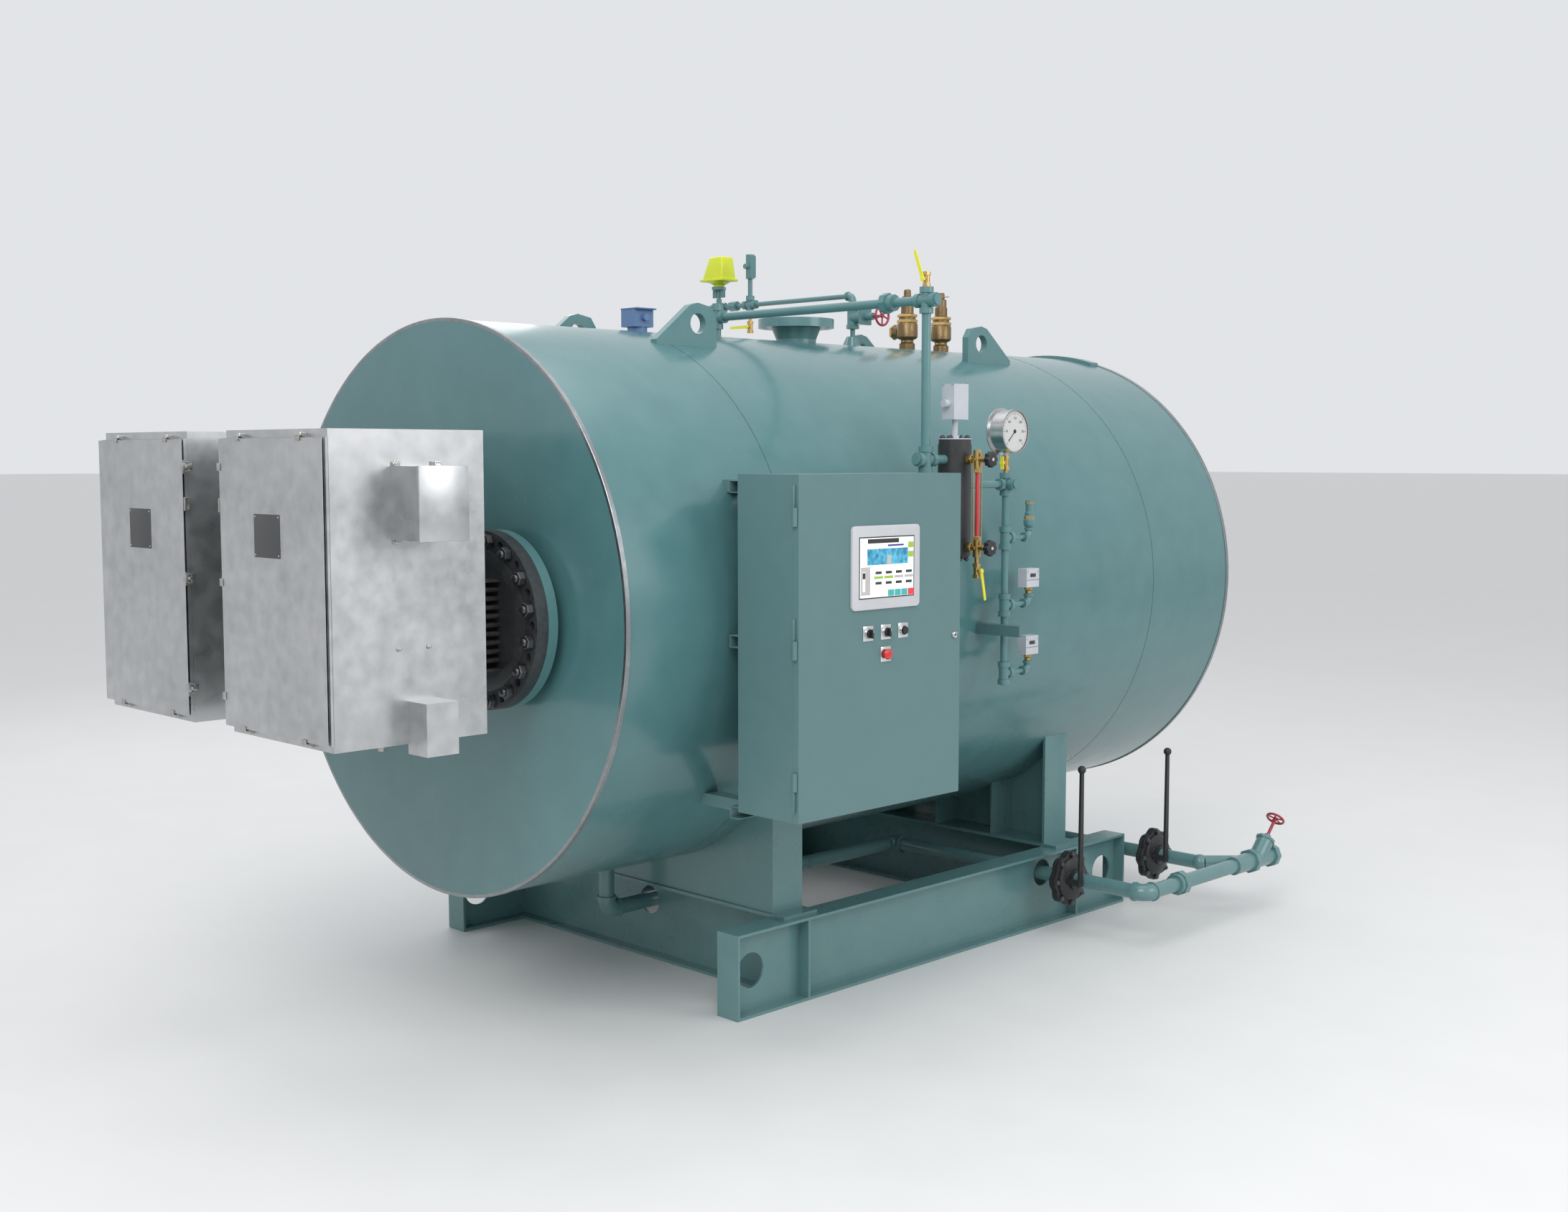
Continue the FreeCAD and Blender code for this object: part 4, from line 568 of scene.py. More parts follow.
SCREEN_BLUE = Finish("screen_blue", "blue_housing", (0.02, 0.16, 0.30), (0.10, 0.45, 0.62), 0.25,
                     0.02, relief=0.00001, patch=9, contrast=2.4, emission=0.3)
SCREEN_NAVY = Finish("screen_navy", "blue_housing", (0.02, 0.03, 0.22), (0.03, 0.04, 0.26), 0.25,
                     0.02, relief=0.00001, emission=0.2)
SCREEN_GREY = Finish("screen_grey", "grey_bezel", (0.42, 0.40, 0.39), (0.48, 0.46, 0.45), 0.25,
                     0.02, relief=0.00001, emission=0.15)
SCREEN_GREEN = Finish("screen_green", "yellow_grip", (0.26, 0.42, 0.05), (0.30, 0.46, 0.07), 0.25,
                      0.02, relief=0.00001, emission=0.25)
SCREEN_TEAL = Finish("screen_teal", "teal_paint", (0.05, 0.34, 0.33), (0.06, 0.38, 0.37), 0.25,
                     0.02, relief=0.00001, emission=0.25)
SCREEN_RED = Finish("screen_red", "red_plastic", (0.65, 0.04, 0.05), (0.70, 0.05, 0.06), 0.25,
                    0.02, relief=0.00001, emission=0.25)

NODE_FINISH: dict[str, Finish] = {
    finish.slot: finish for finish in (
        TEAL, PANEL, STAINLESS, TRIM, DARK_FLANGE, SHEATH, BEZEL, BLACK_PLASTIC, RED_PLASTIC,
        BRASS, BRONZE, YELLOW, YELLOW_COVER, COLUMN_BLACK, GREY_HOUSING, RED_GLASS, GAUGE_STEEL,
        RED_WHEEL, BLUE_HOUSING, BLACK_IRON)}


def dress(piece: bpy.types.Object, finish: Finish, body: str = "boiler") -> bpy.types.Object:
    """Gives a new piece its finish and the body that it rides on."""
    piece.data.materials.clear()
    piece.data.materials.append(finish.material())
    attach(piece, body)
    return piece


def dress_nodes() -> None:
    """Gives every CAD node the finish of its material slot."""
    for row in frame["record"]["subparts"]:
        node = frame["nodes"][row["node"]]
        node.data.materials.clear()
        finish = NODE_FINISH[row["material_slot"]]
        # The jacket and head nodes take the darker copy of the teal paint, which is painted shade.
        if row["node"].startswith("jacket_") or row["node"].endswith("_head"):
            finish = SHADED_JACKET_TEAL if finish is TEAL else finish
        node.data.materials.append(finish.material())
    log.info("dressed %d nodes", len(frame["nodes"]))


# ---------------------------------------------------------------- small hardware


def hex_stud(name: str, nut: float, length: float, proud: float) -> bpy.types.Object:
    """A washer, a hex nut and the stud's end, standing on Z = 0 and pointing up.

    Args:
        name: The piece's name.
        nut: The nut's radius over its corners.
        length: The nut's height.
        proud: How far the stud stands out of the nut.

    Returns:
        The piece.
    """
    washer = turned(name + "_washer", ((0, 0), (nut * 1.08, 0), (nut * 1.08, nut * 0.12),
                                       (0, nut * 0.12)), sides=20)
    body = many_sided(name + "_nut", 6, nut, length, (0, 0, nut * 0.12), chamfer=nut * 0.09)
    bolt = nut * 0.52
    top = length + nut * 0.12
    ridges = [(bolt * (1.0 if step % 2 else 0.9), top + proud * step / 6) for step in range(6)]
    end = turned(name + "_end", ((0, top - 0.001), *ridges, (bolt * 0.75, top + proud),
                                 (0, top + proud)), sides=16)
    return joined(name, [washer, body, end])


def cap_screw(name: str, radius: float, height: float) -> bpy.types.Object:
    """A small domed screw head with a round recess, pointing up from Z = 0."""
    head = turned(name, ((radius, 0), (radius, height * 0.4), (radius * 0.8, height * 0.85),
                         (radius * 0.4, height), (radius * 0.3, height * 0.55),
                         (0, height * 0.5)), sides=14)
    return head


def around(middle: Place, way: Way, radius: float, count: int, start: float = 0.0,
           sweep: float = 360.0) -> list[tuple[Place, Place]]:
    """Places evenly round a circle, each turned to point along way.

    Args:
        middle: The circle's middle.
        way: The way the circle's axis and each copy point.
        radius: The circle's radius.
        count: How many places.
        start: The first place's angle, in degrees.
        sweep: The whole angle that the count divides, in degrees.

    Returns:
        Each place and its turn.
    """
    frame_turn = Euler(way.value).to_matrix()
    spots = []
    for index in range(count):
        angle = math.radians(start + sweep * index / count)
        out = frame_turn @ Vector((radius * math.cos(angle), radius * math.sin(angle), 0))
        spin = (frame_turn @ Matrix.Rotation(angle, 3, "Z")).to_euler()
        spots.append(((middle[0] + out.x, middle[1] + out.y, middle[2] + out.z), tuple(spin)))
    return spots


def fluted(name: str, lobes: int, radius: float, dip: float, length: float, at: Place,
           way: Way = Way.UP) -> bpy.types.Object:
    """A disc whose edge is scalloped into lobes, as on a cast rim or a hand knob.

    Args:
        name: The piece's name.
        lobes: How many lobes it has.
        radius: The radius over the lobes.
        dip: How deep the edge dips between them, as a share of the radius.
        length: The disc's thickness.
        at: Where its low end goes.
        way: Which way its axis points.

    Returns:
        The piece.
    """
    clear_bench()
    bpy.ops.mesh.primitive_cylinder_add(vertices=lobes * 8, radius=radius, depth=length,
                                        location=(0, 0, length / 2))
    piece = named(name)
    bpy.ops.object.transform_apply(location=True, rotation=True, scale=True)
    for limit in (0.5, -0.3, -0.9):
        edit(piece)
        bpy.ops.object.mode_set(mode="OBJECT")
        for vertex in piece.data.vertices:
            phase = math.cos(lobes * math.atan2(vertex.co.y, vertex.co.x))
            vertex.select = phase < limit
        bpy.ops.object.mode_set(mode="EDIT")
        share = 1 - dip / 3
        bpy.ops.transform.resize(value=(share, share, 1), center_override=(0, 0, 0))
    for top in (True, False):
        pick_faces(piece, lambda middle, normal: (normal.z > 0.9) if top else (normal.z < -0.9))
        bpy.ops.mesh.bevel(offset=length * 0.12, segments=2, affect="EDGES")
    bpy.ops.object.mode_set(mode="OBJECT")
    return done(settle(piece, at, way.value), 30)


def numeral(name: str, word: str, at: Place, height: float) -> bpy.types.Object:
    """A plain number that faces +X, its middle at a place."""
    clear_bench()
    bpy.ops.object.text_add()
    letters = bpy.context.object
    letters.data.body = word
    letters.data.size = height
    letters.data.align_x = "CENTER"
    letters.data.align_y = "CENTER"
    letters.data.extrude = 0.0002
    bpy.ops.object.convert(target="MESH")
    return settle(named(name), at, (math.pi / 2, 0, math.pi / 2))


def box_of(node: str) -> tuple[Vector, Vector, Vector]:
    """The lowest corner, highest corner and middle of a CAD node."""
    low, high = (Vector(corner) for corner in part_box(node))
    return low, high, (low + high) / 2


# ---------------------------------------------------------------- front end


@dataclass
class TerminalEnd:
    """One terminal box's fittings: clamps, hasp, bare plate, screws, side boxes' covers."""

    side: int
    word: str
    clamp_reach: float = 0.24
    clamp_far: float = 0.602
    clamp_heights: tuple[float, float, float] = (1.935, 1.577, 1.221)
    hasp_height: float = 1.816
    plate_low: float = 1.664
    plate_high: float = 1.795
    plate_near: float = 0.333
    plate_far: float = 0.487
    left_plate_middle: float = -0.434
    plate_thick: float = 0.0016
    plate_screw_inset: float = 0.008
    cover_low: float = 1.721
    cover_high: float = 1.939
    cover_front: float = -1.6225
    cover_back: float = -1.4535
    cover_overlap: float = 0.004
    ear_y: float = -1.605
    ear_screw_y: float = -1.609
    ear_rise: float = 0.006
    ear_screw_rise: float = 0.007
    latch_y: float = -1.556
    side_screw_y: tuple[float, float] = (-1.604, -1.499)
    side_screw_z: float = 1.395
    gland_inset: float = 0.05
    gland_y: float = -1.640

    def build(self) -> None:
        """Makes this box's fittings."""
        self.box_low, self.box_high, _ = box_of(f"terminal_box_{self.word}")
        self.door_low, self.door_high, _ = box_of(f"terminal_door_{self.word}")
        self.face_y = self.door_low.y
        self.clamps()
        self.name_plate()
        self.door_return()
        if self.side > 0:
            self.side_fittings()
        log.info("terminal end %s", self.word)

    def clamp(self) -> bpy.types.Object:
        """One screw clamp: a saddle on the rim, a hook over the door and a screw.

        It stands over the rim along +Z, with the door towards -Y.

        Returns:
            The clamp.
        """
        saddle = block("saddle", (0, 0.008, 0.004), (0.030, 0.016, 0.008), 0.0015)
        hook = block("hook", (0, -0.008, 0.004), (0.024, 0.020, 0.007), 0.0018)
        lip = block("lip", (0, -0.016, -0.004), (0.024, 0.004, 0.016), 0.0012)
        screw = settle(cap_screw("screw", 0.006, 0.006), (0, -0.004, 0.0075))
        ear_a = block("ear_a", (-0.014, 0.002, 0.006), (0.003, 0.020, 0.014), 0.001)
        ear_b = block("ear_b", (0.014, 0.002, 0.006), (0.003, 0.020, 0.014), 0.001)
        return joined("clamp", [saddle, hook, lip, screw, ear_a, ear_b])

    def clamps(self) -> None:
        """Clamps along the door's top, bottom and inner edge."""
        y = self.face_y + 0.013
        top, low = self.door_high.z, self.door_low.z
        inner = min(abs(self.door_low.x), abs(self.door_high.x))
        places = [((self.side * x, y, top + 0.001), (0, 0, 0))
                  for x in (self.clamp_reach, self.clamp_far)]
        places += [((self.side * x, y, low - 0.001), (0, math.pi, 0))
                   for x in (self.clamp_reach, self.clamp_far)]
        lean = -self.side * math.pi / 2
        places += [((self.side * (inner - 0.001), y, z), (0, lean, 0))
                   for z in self.clamp_heights]
        piece = copies(f"door_clamps_{self.word}", self.clamp(), places)
        dress(piece, ZINC, f"terminal_door_{self.word}")
        hasp = block(f"hasp_{self.word}", (self.side * (inner - 0.006), y - 0.004,
                                           self.hasp_height), (0.010, 0.022, 0.044), 0.003)
        pick_faces(hasp, lambda middle, normal: abs(normal.x) > 0.9)
        bpy.ops.mesh.inset(thickness=0.005, depth=-0.002)
        bpy.ops.object.mode_set(mode="OBJECT")
        dress(hasp, ZINC, f"terminal_door_{self.word}")

    def name_plate(self) -> None:
        """The bare dark plate on the door, with a screw at each corner."""
        middle_x = self.side * (self.plate_near + self.plate_far) / 2
        middle_z = (self.plate_low + self.plate_high) / 2
        wide, tall = self.plate_far - self.plate_near, self.plate_high - self.plate_low
        if self.side < 0:
            middle_x = self.left_plate_middle
        middle = (middle_x, self.face_y - self.plate_thick / 2, middle_z)
        plate = block(f"bare_plate_{self.word}", middle, (wide, self.plate_thick, tall), 0.0006)
        dress(plate, PLATE_GREY, f"terminal_door_{self.word}")
        inset = self.plate_screw_inset
        spots = [((middle_x + across * (wide / 2 - inset), self.face_y - self.plate_thick,
                   middle_z + up * (tall / 2 - inset)), Way.FRONT.value)
                 for across in (-1, 1) for up in (-1, 1)]
        screws = copies(f"plate_screws_{self.word}", cap_screw("screw", 0.0032, 0.0016), spots)
        dress(screws, ZINC, f"terminal_door_{self.word}")

    def door_return(self) -> None:
        """The door's folded rim: a thin raised bead round its face."""
        wide = self.door_high.x - self.door_low.x - 0.004
        tall = self.door_high.z - self.door_low.z - 0.004
        middle = ((self.door_low.x + self.door_high.x) / 2, self.face_y - 0.0006,
                  (self.door_low.z + self.door_high.z) / 2)
        clear_bench()
        bpy.ops.mesh.primitive_cube_add(size=1, location=middle, scale=(wide, 0.0012, tall))
        rim = named(f"door_skin_{self.word}")
        bpy.ops.object.transform_apply(location=True, rotation=True, scale=True)
        pick_faces(rim, lambda centre, normal: normal.y < -0.9)
        bpy.ops.mesh.inset(thickness=0.004, depth=-0.0006)
        bpy.ops.object.mode_set(mode="OBJECT")
        dress(done(rim), STAINLESS, f"terminal_door_{self.word}")

    def side_fittings(self) -> None:
        """A cover, ears, latch and screws of the two small boxes on the outer side, and a drain
        gland.
        """
        _, high, _ = box_of("side_boxes")
        face_x = self.box_high.x
        self.cover("disconnect", high.x)
        ends = ((self.cover_high, 1), (self.cover_low, -1))
        ears = [block("ear", (face_x + 0.002, self.ear_y, z + sign * self.ear_rise),
                      (0.004, 0.030, 0.016), 0.001) for z, sign in ends]
        dress(joined("disconnect_ears", ears), ZINC)
        latch = block("disconnect_latch", (high.x - 0.012, self.latch_y, self.cover_high + 0.008),
                      (0.034, 0.020, 0.014), 0.002)
        pick_faces(latch, lambda middle, normal: abs(normal.x) > 0.9)
        bpy.ops.mesh.inset(thickness=0.003, depth=-0.002)
        bpy.ops.object.mode_set(mode="OBJECT")
        dress(latch, BRIGHT)
        spots = [((face_x, y, self.side_screw_z), Way.RIGHT.value) for y in self.side_screw_y]
        spots += [((face_x + 0.004, self.ear_screw_y, z + sign * self.ear_screw_rise),
                   Way.RIGHT.value) for z, sign in ends]
        dress(copies("side_screws", hex_stud("screw", 0.008, 0.005, 0.004), spots), ZINC)
        gland = turned("drain_gland", ((0, 0), (0.014, 0), (0.014, 0.010), (0.010, 0.012),
                                       (0.010, 0.020), (0, 0.020)),
                       (face_x - self.gland_inset, self.gland_y, self.box_low.z), Way.DOWN, 20)
        dress(gland, ZINC)

    def cover(self, name: str, face_x: float) -> None:
        """A thin overlapping cover on a small box's outer face."""
        size = (0.012, self.cover_back - self.cover_front + self.cover_overlap,
                self.cover_high - self.cover_low + self.cover_overlap)
        middle = (face_x + 0.0005, (self.cover_front + self.cover_back) / 2,
                  (self.cover_low + self.cover_high) / 2)
        dress(block(f"{name}_cover", middle, size, 0.0015), STAINLESS)


@dataclass
class ElementFlanges:
    """The studs, washers and nuts that hold the element flanges, and their gaskets."""

    circle: float = 0.270
    count: int = 16
    nut: float = 0.0236

    def build(self) -> None:
        """Makes the studs of both flanges."""
        low, high, _ = box_of("element_flanges")
        reach = (high.x - low.x) / 2
        centre_z = (low.z + high.z) / 2
        radius = (high.z - low.z) / 2
        for side, word in ((1, "right"), (-1, "left")):
            x = side * (reach - radius)
            start = 360 / self.count / 2
            places = around((x, low.y, centre_z), Way.FRONT, self.circle, self.count, start)
            studs = copies(f"flange_studs_{word}", hex_stud("stud", self.nut, 0.024, 0.012),
                           places)
            dress(studs, DARK_STUD)
            ring = turned(f"flange_hub_{word}", ((0.190, 0), (0.236, 0), (0.236, 0.002),
                                                 (0.232, 0.004), (0.190, 0.004)),
                          (x, low.y, centre_z), Way.FRONT, 64)
            dress(ring, DARK_FLANGE)
        log.info("element flanges")


# ---------------------------------------------------------------- control panel


@dataclass
class ControlPanel:
    """The panel door's fittings: bezel, screen, switches, stop button, lock and hinges."""

    bezel_y: float = -0.127
    bezel_z: float = 1.603
    bezel_wide: float = 0.336
    bezel_tall: float = 0.277
    screen_wide: float = 0.266
    screen_tall: float = 0.196
    switch_y: float = -0.123
    pitch: float = 0.087
    switch_z: float = 1.386
    stop_z: float = 1.312
    lock: tuple[float, float] = (0.234, 1.351)
    hinge_spans: tuple[Span, ...] = ((0.831, 0.904), (1.384, 1.454), (1.806, 1.877))
    picture_depth: float = 0.0097
    picture_layer: float = 0.00025

    def build(self) -> None:
        """Makes the fittings on the door."""
        _, high, _ = box_of("panel_door")
        self.face = high.x
        self.bezel()
        self.screen()
        for index, word in enumerate(("left", "middle", "right")):
            self.switch(word, self.switch_y + (index - 1) * self.pitch)
        self.stop_button()
        self.lock_and_seam()
        log.info("control panel")

    def bezel(self) -> None:
        """The screen's moulded bezel, with rounded corners and a bevelled front edge."""
        clear_bench()
        bpy.ops.mesh.primitive_cube_add(
            size=1, location=(self.face + 0.0045, self.bezel_y, self.bezel_z),
            scale=(0.009, self.bezel_wide, self.bezel_tall))
        bezel = named("operator_bezel")
        bpy.ops.object.transform_apply(location=True, rotation=True, scale=True)
        edit(bezel, "EDGE")
        bpy.ops.object.mode_set(mode="OBJECT")
        for edge in bezel.data.edges:
            first, second = (bezel.data.vertices[index].co for index in edge.vertices)
            edge.select = abs(first.x - second.x) > 0.005
        bpy.ops.object.mode_set(mode="EDIT")
        bpy.ops.mesh.bevel(offset=0.016, segments=6, affect="EDGES")
        pick_faces(bezel, lambda middle, normal: normal.x > 0.9)
        bpy.ops.mesh.bevel(offset=0.003, segments=3, affect="EDGES")
        bpy.ops.object.mode_set(mode="OBJECT")
        dress(done(bezel, 30), BEZEL, "panel_door")
        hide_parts("operator_panel")

    def tile(self, name: str, across: float, up: float, wide: float, tall: float,
             finish: Finish, lift: int = 1) -> None:
        """A flat patch of the screen's picture.

        Args:
            name: The piece's name.
            across: Its middle from the screen's left edge, as a share of the width.
            up: Its middle from the screen's foot, as a share of the height.
            wide: Its width, as a share.
            tall: Its height, as a share.
            finish: Its finish.
            lift: Which layer it lies on.
        """
        y = self.bezel_y + (across - 0.5) * self.screen_wide
        z = self.bezel_z + (up - 0.5) * self.screen_tall
        depth = self.picture_depth + self.picture_layer * lift
        patch = block(name, (self.face + depth, y, z),
                      (0.0004, wide * self.screen_wide, tall * self.screen_tall), 0)
        dress(patch, finish, "panel_door")

    def screen(self) -> None:
        """The screen, showing a plain vessel diagram with bare fields and keys."""
        self.tile("screen_page", 0.5, 0.5, 1.0, 1.0, PAGE, 0)
        self.tile("screen_header", 0.43, 0.945, 0.58, 0.075, SCREEN_DARK)
        self.tile("screen_vessel", 0.51, 0.68, 0.76, 0.27, SCREEN_BLUE)
        self.tile("screen_vessel_cap", 0.66, 0.865, 0.30, 0.03, SCREEN_NAVY)
        self.tile("screen_level_bar", 0.10, 0.28, 0.17, 0.47, SCREEN_GREY)
        self.tile("screen_level_slot", 0.07, 0.27, 0.045, 0.33, PAGE, 2)
        self.tile("screen_level_fill", 0.07, 0.37, 0.045, 0.10, SCREEN_DARK, 3)
        self.tile("screen_box", 0.535, 0.62, 0.08, 0.16, SCREEN_GREY, 2)
        for row, finish in ((0.41, SCREEN_DARK), (0.33, SCREEN_GREEN), (0.235, SCREEN_DARK)):
            for column in range(4):
                picked = SCREEN_GREY if finish is SCREEN_GREEN and column > 1 else finish
                self.tile(f"screen_field_{int(row * 100)}_{column}", 0.34 + column * 0.19, row,
                          0.115 if finish is SCREEN_DARK else 0.165, 0.045, picked)
        for index, up in enumerate((0.86, 0.70)):
            self.tile(f"screen_key_{index}", 0.945, up, 0.10, 0.10, SCREEN_GREEN)
        for index in range(4):
            self.tile(f"screen_tab_{index}", 0.575 + 0.125 * index, 0.06, 0.115, 0.11,
                      SCREEN_RED if index == 3 else SCREEN_TEAL)
        glass = block("screen_frame", (self.face + 0.0092, self.bezel_y, self.bezel_z),
                      (0.0006, self.screen_wide + 0.008, self.screen_tall + 0.008), 0)
        dress(glass, SCREEN_BLACK, "panel_door")

    def legend_plate(self, name: str, y: float, z: float, collared: bool = True) -> None:
        """A square silver legend plate, with a round collar on it where it is collared."""
        plate = block(f"{name}_plate", (self.face + 0.001, y, z), (0.0022, 0.050, 0.050), 0.0008)
        if not collared:
            dress(plate, BRIGHT, "panel_door")
            return
        collar = turned(f"{name}_collar", ((0.0116, 0), (0.0178, 0), (0.0178, 0.004),
                                           (0.0166, 0.006), (0.0158, 0.0062), (0.0148, 0.004),
                                           (0.0118, 0.0035), (0.0116, 0)),
                        (self.face + 0.002, y, z), Way.RIGHT, 32)
        dress(joined(f"{name}_plate", [plate, collar]), BRIGHT, "panel_door")

    def switch(self, word: str, y: float) -> None:
        """A selector switch: its plate, collar and black knob with a wing handle."""
        self.legend_plate(f"switch_{word}", y, self.switch_z)
        body = f"selector_{word}"
        start = self.face + 0.0032
        base = turned(f"{body}_knob", ((0, 0), (0.0140, 0), (0.0140, 0.008), (0.0125, 0.012),
                                       (0, 0.012)), (start, y, self.switch_z), Way.RIGHT, 28)
        parts = [base]
        if word != "right":
            wing = block("wing", (start + 0.0170, y, self.switch_z), (0.011, 0.008, 0.030), 0.003,
                         3)
            mark = block("mark", (start + 0.0225, y, self.switch_z + 0.009),
                         (0.0008, 0.0016, 0.009), 0)
            parts.append(wing)
            dress(mark, DIAL_WHITE, body)
        knob = joined(f"{body}_knob", parts)
        dress(knob, BLACK_PLASTIC, body)
        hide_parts(body)

    def stop_button(self) -> None:
        """The stop button's plate and its red mushroom head."""
        y = self.switch_y
        self.legend_plate("stop", y, self.stop_z, collared=False)
        head = turned("stop_head", ((0, 0), (0.0108, 0), (0.0108, 0.0105), (0.0165, 0.0125),
                                    (0.0185, 0.0150), (0.0185, 0.0180), (0.0160, 0.0215),
                                    (0.0090, 0.0238), (0, 0.0244)),
                      (self.face - 0.0036, y, self.stop_z), Way.RIGHT, 36)
        dress(head, RED_PLASTIC, "stop_button")
        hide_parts("stop_button")

    def lock_and_seam(self) -> None:
        """The round lock and the hinge leaves."""
        y, z = self.lock
        barrel = turned("panel_lock", ((0, 0), (0.0130, 0), (0.0130, 0.004), (0.0105, 0.009),
                                       (0.0095, 0.0095), (0.0085, 0.006), (0, 0.006)),
                        (self.face, y, z), Way.RIGHT, 28)
        dress(barrel, BRIGHT, "panel_door")
        # A thin black strip on the lock's face: painted shade in its keyway.
        slot = block("panel_lock_keyway_shade", (self.face + 0.0066, y, z), (0.0012, 0.0022, 0.011), 0)
        dress(slot, BLACK_PLASTIC, "panel_door")
        low, _, _ = box_of("panel_door")
        for index, (foot, top) in enumerate(self.hinge_spans):
            leaf = block(f"panel_hinge_leaf_{index}", (self.face - 0.013, low.y + 0.007,
                                                       (foot + top) / 2),
                         (0.003, 0.012, top - foot), 0.001)
            dress(leaf, PANEL, "panel_door")


# ---------------------------------------------------------------- water column


@dataclass
class WaterColumn:
    """The column's cover plate and studs, the glass cocks' nuts and the knobs."""

    column: tuple[float, float] = (1.100, 0.534)
    plate: float = 0.0605
    stud_circle: float = 0.0490
    glass_x: float = 1.207
    knob: float = 0.029
    body_nut_x: float = 1.176
    stem_nut_x: float = 1.2395
    probe_screws: tuple[float, float] = (0.022, 0.032)

    def build(self) -> None:
        """Makes the column's fittings."""
        low, high, _ = box_of("water_column")
        x, y = self.column
        cap = turned("column_cover", ((0.013, 0), (self.plate, 0), (self.plate, 0.0025),
                                      (self.plate - 0.001, 0.0035), (0.026, 0.0035),
                                      (0.024, 0.0060), (0.013, 0.0060), (0.013, 0)),
                     (x, y, high.z), sides=48)
        dress(cap, GREY_HOUSING)
        for word, z, way in (("top", high.z + 0.0035, Way.UP), ("foot", low.z, Way.DOWN)):
            studs = copies(f"column_studs_{word}", hex_stud("stud", 0.0088, 0.007, 0.004),
                           around((x, y, z), way, self.stud_circle, 8, 22.5))
            dress(studs, DARK_STUD)
        for word in ("upper", "lower"):
            self.cock(word)
        self.probe()
        log.info("water column")

    def cock(self, word: str) -> None:
        """One gauge cock's packing nuts and its fluted hand knob.

        Args:
            word: Which cock, upper or lower.
        """
        knob_low, knob_high, middle = box_of(f"gauge_knob_{word}")
        glass_low, glass_high, _ = box_of("gauge_glass")
        sign = 1 if word == "upper" else -1
        edge = glass_high.z if sign > 0 else glass_low.z
        way = Way.UP if sign > 0 else Way.DOWN
        nuts = [many_sided("glass_nut", 6, 0.0170, 0.014,
                           (self.glass_x, middle.y, edge - sign * 0.010), way),
                many_sided("body_nut", 6, 0.0190, 0.010,
                           (self.body_nut_x, middle.y, middle.z), Way.RIGHT),
                many_sided("stem_nut", 6, 0.0130, 0.009, (self.stem_nut_x, middle.y, middle.z),
                           Way.RIGHT)]
        dress(joined(f"cock_nuts_{word}", nuts), BRASS)
        body = f"gauge_knob_{word}"
        grip = fluted(f"{body}_grip", 8, self.knob, 0.16, knob_high.x - knob_low.x - 0.002,
                      (knob_low.x + 0.001, middle.y, middle.z), Way.RIGHT)
        dress(grip, BLACK_PLASTIC, body)
        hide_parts(body)
        screw = settle(cap_screw(f"{body}_screw", 0.0065, 0.003),
                       (knob_high.x - 0.001, middle.y, middle.z), Way.RIGHT.value)
        dress(screw, BRIGHT, body)

    def probe(self) -> None:
        """The level probe head's lid screws."""
        _, high, middle = box_of("level_probe_head")
        wide, deep = self.probe_screws
        spots = [((middle.x + across * wide, middle.y + along * deep, high.z), Way.UP.value)
                 for across in (-1, 1) for along in (-1, 1)]
        dress(copies("probe_screws", cap_screw("screw", 0.0040, 0.0022), spots), ZINC)


# ---------------------------------------------------------------- pressure manifold


